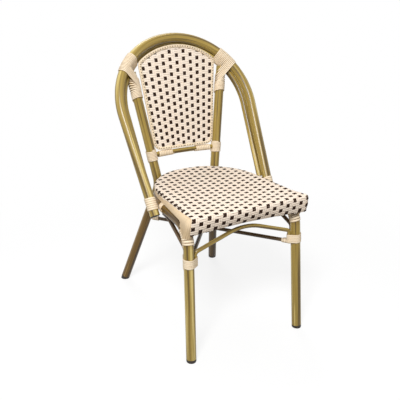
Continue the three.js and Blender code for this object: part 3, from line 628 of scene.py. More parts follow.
PANEL_UP = unit(np.array([0, POST_WAY[1], POST_WAY[2]]))
PANEL_OUT = -np.array([0, PANEL_UP[2], -PANEL_UP[1]])
POST_LEAN = POST_WAY[0] / math.hypot(POST_WAY[1], POST_WAY[2])
PANEL_FOOT = 517.0
PANEL_SHOULDER = 797.0
PANEL_TOP = 846.0
PANEL_HALF = 138.0
PANEL_CORNER = 28.0
PANEL_SHOULDER_CORNER = 14.0
PANEL_PLAN_COUNTS = (14, 8, 40, 8, 20)


def on_panel(x, s, forward):
    return np.array([x, WAIST[1], WAIST[2]]) + PANEL_UP * s + PANEL_OUT * forward


def panel_s(height):
    return (height - WAIST[2]) / PANEL_UP[2]


def panel_plan():
    """The panel's outline from the middle of its foot, up its right side, back to the foot."""
    bottom, shoulder, top = (panel_s(height) for height in (PANEL_FOOT, PANEL_SHOULDER, PANEL_TOP))
    side_start = bottom + PANEL_CORNER
    post_edge = (TUBE + 2 * CLEAR) / math.cos(math.atan(POST_LEAN))
    corner_x = WAIST[0] + POST_LEAN * side_start - post_edge
    slope = (PANEL_HALF - corner_x) / (shoulder - side_start)
    low_x = corner_x - slope * PANEL_CORNER
    crown = 2 * (top - shoulder) / PANEL_HALF
    cut = PANEL_SHOULDER_CORNER
    side_end = (PANEL_HALF - slope * cut, shoulder - cut)
    arch_start = (PANEL_HALF - cut, shoulder + crown * cut)
    foot, round_foot, along_side, round_shoulder, arch = PANEL_PLAN_COUNTS
    half = straight((0, bottom), (low_x - PANEL_CORNER, bottom), foot)
    half += curved((low_x - PANEL_CORNER, bottom), (low_x, bottom), (corner_x, side_start), round_foot)
    half += straight((corner_x, side_start), side_end, along_side)
    half += curved(side_end, (PANEL_HALF, shoulder), arch_start, round_shoulder)
    half += curved(arch_start, (PANEL_HALF / 2, top), (0, top), arch) + [np.array([0, top])]
    return whole_outline(half)


# The panel's weave. Its columns stand further apart towards the top, as the posts do, and the phase says
# which of them pass over first.
PANEL_FIRST_ROW = 544.0
PANEL_ROWS_BELOW = 4
PANEL_PHASE = 10
PANEL_COLUMNS_HALF = 10.44
PANEL_WAIST_HALF = 99.2
PANEL_SIDE_SLOPE = 0.105
PANEL_WAIST_ABOVE = 2.5
UPRIGHT_PITCH = 10.9
DARK_SHORTER = 7.0
TOP_ROW_BELOW = 9.0
HEIGHT_STEP = 0.5
UPRIGHT_MARGIN = 1.0
SHORTEST_UPRIGHT = 24
ROW_MARGIN = 1.0
SHORTEST_REACH = 8.0

# The braid on the panel's border. Stitches go from an edge of the border to near its middle.
BORDER_CORE = 5.2
BORDER_ROUND = 0.93
BORDER_DEPTH = 3.6
BORDER_EDGE = 7.5
BORDER_SIDES = 16
STITCH_WIDTH = 3.4
STITCH_DEPTH = 1.6
STITCH_SIDES = 6
STITCH_SLIP = 4.6
STITCH_INSETS = ((0.9, 5.0), (9.5, 5.4))
STITCH_LIFTS = (2.4, 4.0, 4.0)
FLECK_LENGTH = 3.2
FLECK_LIFT = 4.55
FLECK_DARK = 0.8


def drawn_in(outline, width):
    count = len(outline)
    out = []
    for k, p in enumerate(outline):
        along = unit(outline[(k + 1) % count] - outline[k - 1])
        out.append(np.array([p[0] - along[1] * width, p[1] + along[0] * width]))
    return out


# Meshes

def finished(name, mesh, replaced=()):
    """Puts a finished mesh into the scene as one piece that rides on the chair."""
    obj = bpy.data.objects.new(name, mesh)
    bpy.context.scene.collection.objects.link(obj)
    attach(obj, BODY)
    if replaced:
        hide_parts(*replaced)


def line_mesh(name, lines):
    """Polylines as a mesh of edges. Each is its places in millimetres, the way the strand's flat side looks
    at each place, and how dark the strand is."""
    mesh = bpy.data.meshes.new(name)
    places, edges, looks, darks = [], [], [], []
    for points, facing, dark in lines:
        start = len(places)
        places += [place(p) for p in points]
        edges += [(start + k, start + k + 1) for k in range(len(points) - 1)]
        looks += list(facing)
        darks += [dark] * len(points)
    mesh.from_pydata(places, edges, [])
    look = mesh.attributes.new("look", "FLOAT_VECTOR", "POINT")
    look.data.foreach_set("vector", np.array(looks, np.float32).ravel())
    shade = mesh.attributes.new("dark", "FLOAT", "POINT")
    shade.data.foreach_set("value", np.array(darks, np.float32))
    return mesh


def fill(tree, node, inputs):
    """Sets each named input of a node to a value, or links a socket to it."""
    for name, value in inputs.items():
        if isinstance(value, bpy.types.NodeSocket):
            tree.links.new(value, node.inputs[name])
        else:
            node.inputs[name].default_value = value


def add(tree, kind, inputs=None, output=0, **options):
    """Adds a node with its options and inputs, and returns one of its output sockets."""
    node = tree.nodes.new(kind)
    for name, value in options.items():
        setattr(node, name, value)
    fill(tree, node, inputs or {})
    return node.outputs[output] if node.outputs else None


def combined(tree, operation, a, b):
    return add(tree, "ShaderNodeMath", {0: a, 1: b}, operation=operation)


def new_group(name, kind, inputs, outputs):
    """A new node group with named sockets, and the sockets of its input node."""
    tree = bpy.data.node_groups.new(name, kind)
    for label, socket, value in inputs:
        made = tree.interface.new_socket(label, in_out="INPUT", socket_type="NodeSocket" + socket)
        if value is not None:
            made.default_value = value
    for label, socket in outputs:
        tree.interface.new_socket(label, in_out="OUTPUT", socket_type="NodeSocket" + socket)
    return tree, tree.nodes.new("NodeGroupInput").outputs


def captured(tree, geometry, kind, value):
    """Keeps a value on a geometry, and gives back the geometry and the kept value."""
    node = tree.nodes.new("GeometryNodeCaptureAttribute")
    node.capture_items.new(kind, "Kept")
    fill(tree, node, {"Geometry": geometry, "Kept": value})
    return node.outputs["Geometry"], node.outputs["Kept"]


def strand_tree():
    """Sweeps one round or flat section along lines, and keeps where on the strand each place is."""
    name = "Strand along a line"
    if name in bpy.data.node_groups:
        return bpy.data.node_groups[name]
    tree, given = new_group(name, "GeometryNodeTree", (
        ("Lines", "Geometry", None), ("Width", "Float", 0.006), ("Depth", "Float", 0.0012),
        ("Sides", "Int", 8), ("Flat", "Bool", False), ("Finish", "Material", None),
    ), (("Strands", "Geometry"),))
    width, depth = given["Width"], given["Depth"]
    curve = add(tree, "GeometryNodeMeshToCurve", {"Mesh": given["Lines"]})
    look = add(tree, "GeometryNodeInputNamedAttribute", {"Name": "look"}, data_type="FLOAT_VECTOR")
    turned = add(tree, "GeometryNodeSetCurveNormal", {"Curve": curve, "Normal": look}, mode="FREE")
    run = add(tree, "GeometryNodeSplineParameter", output="Length")
    lines, run = captured(tree, turned, "FLOAT", run)
    circle = add(tree, "GeometryNodeCurvePrimitiveCircle", {"Resolution": given["Sides"], "Radius": 1.0})
    size = add(tree, "ShaderNodeCombineXYZ", {"X": depth, "Y": width, "Z": 2.0})
    halves = add(tree, "ShaderNodeVectorMath", {0: size, "Scale": 0.5}, "Vector", operation="SCALE")
    oval = add(tree, "GeometryNodeTransform", {"Geometry": circle, "Scale": halves})
    strip = add(tree, "GeometryNodeCurvePrimitiveQuadrilateral", {"Width": depth, "Height": width})
    corner = combined(tree, "MULTIPLY", depth, 0.4)
    flat = add(tree, "GeometryNodeFilletCurve", {"Curve": strip, "Radius": corner})
    section = add(tree, "GeometryNodeSwitch", {"Switch": given["Flat"], "False": oval, "True": flat},
                  input_type="GEOMETRY")
    where = add(tree, "GeometryNodeInputPosition")
    section, where = captured(tree, section, "VECTOR", where)
    swept = add(tree, "GeometryNodeCurveToMesh",
                {"Curve": lines, "Profile Curve": section, "Fill Caps": True})
    around = tree.nodes.new("ShaderNodeSeparateXYZ")
    fill(tree, around, {"Vector": where})
    grain = add(tree, "ShaderNodeCombineXYZ", {"X": around.outputs["X"], "Y": around.outputs["Y"], "Z": run})
    stored = add(tree, "GeometryNodeStoreNamedAttribute",
                 {"Geometry": swept, "Name": "grain", "Value": grain},
                 data_type="FLOAT_VECTOR", domain="POINT")
    realized = add(tree, "GeometryNodeRealizeInstances", {"Geometry": stored})
    painted = add(tree, "GeometryNodeSetMaterial", {"Geometry": realized, "Material": given["Finish"]})
    add(tree, "NodeGroupOutput", {"Strands": painted})
    return tree


def grown(name, mesh, tree, values):
    """Runs a node tree on a mesh with the given named inputs, and returns the plain mesh it makes."""
    obj = bpy.data.objects.new(name, mesh)
    bpy.context.scene.collection.objects.link(obj)
    modifier = obj.modifiers.new("Growth", "NODES")
    modifier.node_group = tree
    for item in tree.interface.items_tree:
        if item.item_type == "SOCKET" and item.in_out == "INPUT" and item.name in values:
            modifier[item.identifier] = values[item.name]
    bpy.context.view_layer.update()
    ready = obj.evaluated_get(bpy.context.evaluated_depsgraph_get())
    made = bpy.data.meshes.new_from_object(ready)
    obj.modifiers.clear()
    bpy.data.objects.remove(obj)
    bpy.data.meshes.remove(mesh)
    made.name = name
    return made


def facing_out(mesh, angle=40.0):
    """Turns every face outward and keeps the edges sharper than the angle crisp."""
    work = bmesh.new()
    work.from_mesh(mesh)
    bmesh.ops.recalc_face_normals(work, faces=work.faces)
    for edge in work.edges:
        edge.smooth = edge.is_manifold and edge.calc_face_angle(0) < math.radians(angle)
    for f in work.faces:
        f.smooth = True
    work.to_mesh(mesh)
    work.free()
    return mesh


FIRST_LOOK = np.array([0.31, 0.87, 0.38])


def look_across(points):
    """A steady way square to a line, carried along it without a twist, for round sections."""
    out = []
    look = FIRST_LOOK
    for k in range(len(points)):
        along = along_at(points, k)
        look = unit(look - along * (look @ along))
        out.append(look)
    return out


def tube(name, node, points, radius, paint, sides):
    finish, slot = paint
    mesh = line_mesh(name, [(points, look_across(points), 0.0)])
    values = {"Width": radius / 500, "Depth": radius / 500, "Sides": sides, "Finish": finish}
    finished(name, facing_out(grown(name, mesh, strand_tree(), values)), [node])


def strands(name, lines, width, depth, finish, replaced=(), sides=0):
    """Strands along lines, flat with eased corners where no sides are given, and otherwise oval."""
    mesh = line_mesh(name, lines)
    values = {"Width": width / 1000, "Depth": depth / 1000, "Sides": max(sides, 3), "Flat": sides == 0,
              "Finish": finish}
    finished(name, facing_out(grown(name, mesh, strand_tree(), values), 60.0), replaced)


def ring_loft(name, rings, finish, node):
    """A skin over rings of equal counts, the last of which joins the first."""
    count = len(rings[0])
    faces = []
    for r in range(len(rings)):
        a, b = r * count, ((r + 1) % len(rings)) * count
        for k in range(count):
            n = (k + 1) % count
            faces.append((a + k, a + n, b + n, b + k))
    mesh = bpy.data.meshes.new(name)
    mesh.from_pydata([place(p) for ring in rings for p in ring], [], faces)
    mesh.materials.append(finish)
    finished(name, facing_out(mesh), [node])


# Cord wound round tubes that lie side by side

def hull_at(circles, angle, depth):
    way = np.array([math.cos(angle), math.sin(angle)])
    centre, radius = max(circles, key=lambda c: c[0] @ way + c[1])
    return centre + way * (radius + depth), way


def wound(turns, frame_at, depth, side, phase=0.0, per_turn=28):
    """One unbroken strand's line and the way its flat side looks, mirrored for side -1."""
    points, looks = [], []
    steps = int(turns * per_turn)
    for k in range(steps + 1):
        centre, across, over, circles = frame_at(k / steps)
        spot, way = hull_at(circles, 2 * math.pi * (k / per_turn + phase), depth)
        points.append(sided(centre + across * spot[0] + over * spot[1], side))
        looks.append(sided(across * way[0] + over * way[1], side))
    return points, looks, 0.0


def square_to(way, base=SIDEWARD):
    """Two ways square to a tube, the first as near to the base as it can be."""
    over = unit(np.cross(way, base))
    return unit(np.cross(over, way)), over


def straight_frame(start, way, length):
    """Turns round one straight tube of the frame's own thickness."""
    across, over = square_to(way)
    return lambda share: (start + way * length * share, across, over, [(np.zeros(2), TUBE)])


SHOULDER_LENGTH = 13 * CORD_TURN
SHOULDER_TURNS = 14
SHOULDER_PHASE = 0.5
SMALL_TURN = 0.01
SHOULDER_TILT = math.radians(8)
TILT_SHARE = 0.75
POST_GROW = 16.0
POST_OVERLAP = 7.0
SQUARE_SOONER = 1.6


def shoulder_plane(share):
    """The plane of a shoulder turn, from the lowest turn at 0 to the top one at 1."""
    angle = SHOULDER_ANGLE + (share - 0.5) * SHOULDER_LENGTH / HOOP_RISE
    centre = hoop_at(angle)
    down = unit(hoop_at(angle - SMALL_TURN) - centre)
    tilt = SHOULDER_TILT * eased(share, TILT_SHARE, 0.0)
    return angle, centre, down, -hoop_outward(angle) * math.cos(tilt) + down * math.sin(tilt)


def tube_cut(centre, across, over, start, way, radius):
    """The circles that stand for the slanting cut of a plane through a tube."""
    normal = np.cross(across, over)
    spot = start + way * ((centre - start) @ normal / (way @ normal)) - centre
    slant = way - normal * (way @ normal)
    reach = slant / max(np.linalg.norm(slant), 1e-6) * radius * (1 / abs(way @ normal) - 1)
    return [(np.array([p @ across, p @ over]), radius) for p in (spot - reach, spot + reach)]


def shoulder_frame(share):
    angle, centre, down, across = shoulder_plane(share)
    cuts = tube_cut(centre, across, RAKE_BACK, centre, down, TUBE)
    cuts += tube_cut(centre, across, RAKE_BACK, inner_hoop_at(angle), down, INNER_TUBE)
    below = below_post_top(centre, np.cross(across, RAKE_BACK))
    if below > 0:
        cuts += tube_cut(centre, across, RAKE_BACK, POST_TOP, POST_WAY, TUBE * eased(below, 0.0, POST_GROW))
    return centre, across, RAKE_BACK, cuts


def post_top_frame(length):
    """Turns that leave the shoulder's slant and come square to the post."""
    _, centre, _, first = shoulder_plane(0.0)
    covered = below_post_top(centre, np.cross(first, RAKE_BACK)) - POST_OVERLAP
    square = unit(np.cross(RAKE_BACK, -POST_WAY))

    def frame_at(share):
        spot = POST_TOP - POST_WAY * lerp(covered, length, share)
        across = unit(lerp(first, square, smooth(share * SQUARE_SOONER)))
        return spot, across, RAKE_BACK, tube_cut(spot, across, RAKE_BACK, spot, POST_WAY, TUBE)

    return frame_at, length - covered


def below_post_top(centre, normal):
    """How far down a post a plane cuts it."""
    return -float((centre - POST_TOP) @ normal / (POST_WAY @ normal))


# Finishes

HAIR_TINTS = [(0.3, (0.72, 0.70, 0.62)), (0.52, (1.0, 1.0, 1.0)), (0.8, (1.1, 1.08, 1.02))]
# Painted shade under the seat: the tint that darkens and browns the paint there
UNDER_SEAT_SHADE = (0.52, 0.42, 0.34)
EDGE_SHADE = (0.30, 0.17, 0.08)
# Painted shade: heights in metres between which it comes on, for the rail and for the back legs
RAIL_SHADE_HEIGHTS = (0.350, 0.375)
BACK_LEG_SHADE_HEIGHTS = (0.460, 0.330)


def new_material(name):
    material = bpy.data.materials.new(name)
    material.use_nodes = True
    tree = material.node_tree
    return material, tree, next(n for n in tree.nodes if n.type == "BSDF_PRINCIPLED")


def streak_group():
    """Long streaks that run with a tube or strand, broad ones and fine ones."""
    name = "Streaks along the grain"
    if name in bpy.data.node_groups:
        return bpy.data.node_groups[name]
    tree, given = new_group(name, "ShaderNodeTree", (("Around", "Float", 60.0), ("Along", "Float", 3.0)),
                            (("Broad", "Float"), ("Fine", "Float")))
    grain = add(tree, "ShaderNodeAttribute", output="Vector", attribute_name="grain")
    around, along = given["Around"], given["Along"]
    scale = add(tree, "ShaderNodeCombineXYZ", {"X": around, "Y": around, "Z": along})
    coarse = add(tree, "ShaderNodeVectorMath", {0: grain, 1: scale}, operation="MULTIPLY")
    finer = add(tree, "ShaderNodeVectorMath", {0: coarse, 1: (4.0, 4.0, 2.0)}, operation="MULTIPLY")
    broad = add(tree, "ShaderNodeTexNoise", {"Vector": coarse, "Scale": 1.0, "Detail": 2.0}, "Fac")
    fine = add(tree, "ShaderNodeTexNoise", {"Vector": finer, "Scale": 1.0, "Detail": 4.0}, "Fac")
    add(tree, "NodeGroupOutput", {"Broad": broad, "Fine": fine})
    return tree


def edge_group():
    """How near a place is to a strand's long edges, where neighbouring strands shade it."""
    name = "Edges of a strand"
    if name in bpy.data.node_groups:
        return bpy.data.node_groups[name]
    tree, given = new_group(name, "ShaderNodeTree", (("Half width", "Float", 0.003),), (("Edge", "Float"),))
    grain = add(tree, "ShaderNodeAttribute", output="Vector", attribute_name="grain")
    across = add(tree, "ShaderNodeSeparateXYZ", {"Vector": grain}, "Y")
    size = add(tree, "ShaderNodeMath", {0: across}, operation="ABSOLUTE")
    share = combined(tree, "DIVIDE", size, given["Half width"])
    band = add(tree, "ShaderNodeMapRange", {"Value": share, "From Min": 0.62, "From Max": 0.98},
               interpolation_type="SMOOTHSTEP")
    add(tree, "NodeGroupOutput", {"Edge": band})
    return tree


def grouped(tree, group, inputs):
    node = tree.nodes.new("ShaderNodeGroup")
    node.node_tree = group
    fill(tree, node, inputs)
    return node.outputs


def ramp(tree, factor, stops):
    node = tree.nodes.new("ShaderNodeValToRGB")
    band = node.color_ramp
    while len(band.elements) < len(stops):
        band.elements.new(0.5)
    for element, (where, colour) in zip(band.elements, stops):
        element.position = where
        element.color = (*colour, 1.0)
    fill(tree, node, {"Fac": factor})
    return node.outputs["Color"]


def mixed(tree, factor, a, b, blend="MIX"):
    node = tree.nodes.new("ShaderNodeMix")
    node.data_type = "RGBA"
    node.blend_type = blend
    a, b = (v if isinstance(v, bpy.types.NodeSocket) else (*v, 1.0) for v in (a, b))
    fill(tree, node, {"Factor": factor, 6: a, 7: b})
    return node.outputs[2]


def bump(tree, height, strength, distance):
    return add(tree, "ShaderNodeBump", {"Height": height, "Strength": strength, "Distance": distance})


def bamboo_paint(name, light, middle, dark, shade_heights=None):
    """Streaked paint. Given two heights in metres, it darkens and browns from the first to the second, as
    painted shade.
    """
    found = bpy.data.materials.get(name)
    if found:
        return found
    material, tree, shader = new_material(name)
    run = grouped(tree, streak_group(), {"Around": 95.0, "Along": 2.2})
    tone = ramp(tree, run["Broad"], [(0.38, dark), (0.46, middle), (0.54, middle), (0.63, light)])
    hair = ramp(tree, run["Fine"], HAIR_TINTS)
    colour = mixed(tree, 0.8, tone, hair, "MULTIPLY")
    # Painted shade: past the given heights the paint is multiplied by the shade tint
    if shade_heights:
        where = add(tree, "ShaderNodeTexCoord", output="Object")
        height = add(tree, "ShaderNodeSeparateXYZ", {"Vector": where}, "Z")
        share = add(tree, "ShaderNodeMapRange",
                    {"Value": height, "From Min": shade_heights[0], "From Max": shade_heights[1]})
        colour = mixed(tree, share, colour, mixed(tree, 1.0, colour, UNDER_SEAT_SHADE, "MULTIPLY"))
    fill(tree, shader, {"Base Color": colour, "Roughness": 0.30, "Specular IOR Level": 0.4,
                        "Normal": bump(tree, run["Fine"], 0.12, 0.0004)})
    return material


def strand_plastic(name, pale, warm, width, shading, roughness=0.6, gloss=0.2):
    """Smooth moulded strand of a width in millimetres. A strand's own dark value picks the dark colour."""
    found = bpy.data.materials.get(name)
    if found:
        return found
    material, tree, shader = new_material(name)
    run = grouped(tree, streak_group(), {"Around": 500.0, "Along": 30.0})
    tone = ramp(tree, run["Broad"], [(0.3, warm), (0.6, pale)])
    edge = grouped(tree, edge_group(), {"Half width": width / 2000})["Edge"]
    shaded = mixed(tree, combined(tree, "MULTIPLY", edge, shading), tone, EDGE_SHADE)
    dark = add(tree, "ShaderNodeAttribute", output="Fac", attribute_name="dark")
    fill(tree, shader, {"Base Color": mixed(tree, dark, shaded, settings().check), "Roughness": roughness,
                        "Specular IOR Level": gloss, "Normal": bump(tree, run["Fine"], 0.1, 0.0002)})
    return material


def plug_rubber():
    found = bpy.data.materials.get("Foot plug")
    if found:
        return found
    material, tree, shader = new_material("Foot plug")
    where = add(tree, "ShaderNodeTexCoord", output="Object")
    noise = add(tree, "ShaderNodeTexNoise", {"Vector": where, "Scale": 180.0, "Detail": 3.0}, "Fac")
    tone = ramp(tree, noise, [(0.35, (0.018, 0.014, 0.011)), (0.7, (0.035, 0.027, 0.021))])
    fill(tree, shader, {"Base Color": tone, "Roughness": 0.6})
    return material


def settings():
    return bpy.context.scene.bistro_chair


def frame_finish(name="Bamboo paint", shade_heights=None):
    """The frame's paint. On the rail and the lower back legs it darkens and browns as painted shade under
    the seat.
    """
    s = settings()
    return bamboo_paint(name, s.paint_light, s.paint, s.paint_dark, shade_heights)


# A darker copy of the bamboo paint for the tubes and ring under the seat, which stands for painted shade
def shade_finish():
    s = settings()
    return bamboo_paint("Underside paint, painted shade", s.under_light, s.under, s.under_dark)


def weave_finish():
    s = settings()
    return strand_plastic("Woven strand", s.strand, s.strand_warm, s.band_pitch / 2, 0.30, gloss=0.06)


def cord_finish():
    s = settings()
    return strand_plastic("Binding cord", s.cord, s.cord_warm, s.binding_pitch, 0.85, 0.55)


def wrap_finish():
    s = settings()
    return strand_plastic("Binding wrap", s.cord, s.cord_warm, s.wrap_pitch, 0.6, 0.55)


# The seat's edge wraps take the cord's colours one step darker: partly their own tan, partly painted shade
# along the edge
def edge_finish():
    s = settings()
    return strand_plastic("Edge strand", s.cord_warm, s.edge_tan_and_shade, EDGE_PITCH, 0.4, 0.55)


def border_finish():
    s = settings()
    return strand_plastic("Braided border", s.cord, s.cord_warm, STITCH_WIDTH, 0.5)


# Weaving. Bands are pairs of strands. The bands that run up the panel or back over the seat are dark and
# pale by turns, and the bands across are pale.

def up_is_over(column, row):
    """Whether an upright band passes over the band across, for a stagger of dark checks."""
    if column % 2 == 0:
        return (row + column // 2) % 2 == 0
    return (row + (column + 1) // 2) % 2 == 1


# How far from a crossing's middle a strand stays level, and where its line bends, in shares of the pitch
LEVEL_SHARE = 0.33
BEND_SHARE = 0.32

# How near to a strand's end its line may bend
BEND_MARGIN = 0.5


def crossing_lift(position, over_at, pitch, rise):
    """A strand's height where it runs over and under bands of the given pitch."""
    index = math.floor(position / pitch + 0.5)
    off = position / pitch - index
    here = 1.0 if over_at(index) else -1.0
    there = 1.0 if over_at(index + (1 if off > 0 else -1)) else -1.0
    return rise * lerp(here, there, eased(abs(off), LEVEL_SHARE, 1 - LEVEL_SHARE))


def woven(low, high, over_at, at, dark=0.0):
    """A strand's line from low to high along its run. at(position, lift) gives the place and the way its
    flat side looks."""
    pitch, rise = settings().band_pitch, settings().strand_depth / 2 + STRAND_SLACK
    points, looks = [], []
    first, last = math.floor(low / pitch + 0.5), math.floor(high / pitch + 0.5)
    stops = [low]
    for index in range(first, last + 1):
        for off in (-BEND_SHARE, BEND_SHARE):
            spot = (index + off) * pitch
            if low + BEND_MARGIN < spot < high - BEND_MARGIN:
                stops.append(spot)
    stops.append(high)
    for spot in stops:
        p, look = at(spot, crossing_lift(spot, over_at, pitch, rise))
        points.append(p)
        looks.append(look)
    return points, looks, dark


def weave_strands(name, lines, pitch, replaced=()):
    """The strands of one direction of the weave, two to each band of the pitch."""
    strands(name, lines, pitch / 2 - STRAND_GAP, settings().strand_depth, weave_finish(),
            replaced)


def darkness(column):
    return 1.0 if column % 2 == 0 else 0.0


def pair_places(index, pitch):
    return (index * pitch - pitch / 4, index * pitch + pitch / 4)


# Groups of pieces

def length_setting(name, description, value, low, high):
    return bpy.props.FloatProperty(name=name, description=description, default=value, min=low, max=high)


def colour_setting(name, description, value):
    return bpy.props.FloatVectorProperty(name=name, description=description, subtype="COLOR", default=value,
                                         min=0, max=1)


class ChairSettings(bpy.types.PropertyGroup):
    """Sizes in millimetres and colours of the chair's looks"""
    band_pitch: length_setting("Band pitch", "Width of one pair of woven strands", 11.86, 6, 30)
    strand_depth: length_setting("Strand depth", "Thickness of a woven strand", 1.0, 0.4, 3)
    binding_pitch: length_setting("Binding pitch", "Distance from turn to turn of the cords", 4.6, 2, 8)
    wrap_pitch: length_setting("Wrap pitch", "Distance from turn to turn of the flat wraps", 6.4, 3, 16)
    paint_light: colour_setting("Paint, light", "Lightest streaks of bamboo paint", (0.650, 0.515, 0.195))
    paint: colour_setting("Paint", "Main colour of the bamboo paint", (0.350, 0.243, 0.055))
    paint_dark: colour_setting("Paint, dark", "Darkest streaks of bamboo paint", (0.130, 0.084, 0.022))
    # The underside colours are the bamboo paint's, darkened as painted shade under the seat
    under_light: colour_setting("Underside, light", "Lightest streaks under the seat", (0.240, 0.150, 0.060))
    under: colour_setting("Underside", "Main colour of the paint under the seat", (0.130, 0.077, 0.030))
    under_dark: colour_setting("Underside, dark", "Darkest streaks under the seat", (0.060, 0.033, 0.014))
    strand: colour_setting("Pale strand", "Main colour of the pale strands", (0.930, 0.820, 0.705))
    strand_warm: colour_setting("Pale strand, warm", "Warmer streaks of pale strands", (0.890, 0.750, 0.610))
    check: colour_setting("Dark strand", "Colour of the strands that make the checks", (0.030, 0.014, 0.008))
    cord: colour_setting("Cord", "Main colour of the binding cord", (0.900, 0.770, 0.580))
    cord_warm: colour_setting("Cord, warm", "Warmer streaks of the binding cord", (0.820, 0.650, 0.440))
    # Partly the edge strand's own tan, partly painted shade along the seat's edge
    edge_tan_and_shade: colour_setting("Edge strand, warm", "Warmer streaks at the seat's edge", (0.640, 0.470, 0.260))


# How many sides the tubes' sections have
TUBE_SIDES = 32
SLIM_TUBE_SIDES = 24
STRETCHER_SIDES = 20


class BuildFrameTubes(bpy.types.Operator):
    """Makes the bent tubes of the chair's frame"""
    bl_idname = "bistro.frame_tubes"
    bl_label = "Frame tubes"

    def execute(self, context):
        # The shade paint is the bamboo paint darkened as painted shade, for the tubes under the seat
        paint, shade = (frame_finish(), "bamboo_paint"), (shade_finish(), "underside_paint")
        # The rail and the back legs get painted shade under the seat, darker and browner past set heights
        rail_paint = (frame_finish("Rail paint with painted shade", RAIL_SHADE_HEIGHTS), "bamboo_paint")
        leg_paint = (frame_finish("Back leg paint with painted shade", BACK_LEG_SHADE_HEIGHTS), "bamboo_paint")
        tube("seat_frame", "seat_frame_tube", seat_frame_line(), TUBE, rail_paint, TUBE_SIDES)
        for tag, side in SIDES:
            line = [sided(p, side) for p in back_leg_line()]
            tube(f"leg_and_post_{tag}", f"back_leg_{tag}", line, TUBE, leg_paint, TUBE_SIDES)
        tube("hoop_outer", "outer_hoop", outer_hoop_line(), TUBE, paint, TUBE_SIDES)
        tube("hoop_inner", "inner_hoop", inner_hoop_line(), INNER_TUBE, paint, SLIM_TUBE_SIDES)
        tube("rail_front", "front_rail", front_rail_line(), RAIL_TUBE, shade, SLIM_TUBE_SIDES)
        tube("arch_front", "front_arch", front_arch_line(), STRETCHER, paint, STRETCHER_SIDES)
        for tag, side in SIDES:
            line = [sided(p, side) for p in side_arch_line()]
            tube(f"arch_side_{tag}", f"side_arch_{tag}", line, STRETCHER, shade, STRETCHER_SIDES)
        tube("cross_low", "cross_stretcher_low", cross_line(0.0), STRETCHER, shade, STRETCHER_SIDES)
        high = [mirror(p) for p in cross_line(CROSS_LIFT)]
        tube("cross_high", "cross_stretcher_high", high, STRETCHER, shade, STRETCHER_SIDES)
        steps = range(PANEL_RAIL_STEPS, -PANEL_RAIL_STEPS - 1, -1)
        rail = [panel_rail_at(step / PANEL_RAIL_STEPS) for step in steps]
        tube("rail_panel", "panel_rail", rail, PANEL_RAIL_TUBE, paint, SLIM_TUBE_SIDES)
        return {"FINISHED"}


# The ring under the seat: how far in from the seat's outline each of its corners lies, and how high. Its
# front is set back under the apron.
RING_SECTION = ((8, 0), (8, 5), (14, 13), (26, 14), (26, 0))
RING_SETBACK = 2.0

# The wraps over the seat's edge: how far out and down they bulge, and how their ends are tucked in or fall
# to the knees
BULGE_OUT = 0.86
BULGE_DOWN = 0.2
TUCKED_IN = 5.0
TUCKED_DOWN = 1.6
WRAP_OVERLAP = 0.5
WRAP_LOOK_RISE = 0.6
BULGE_STEPS = 8
FALL_STEPS = 5


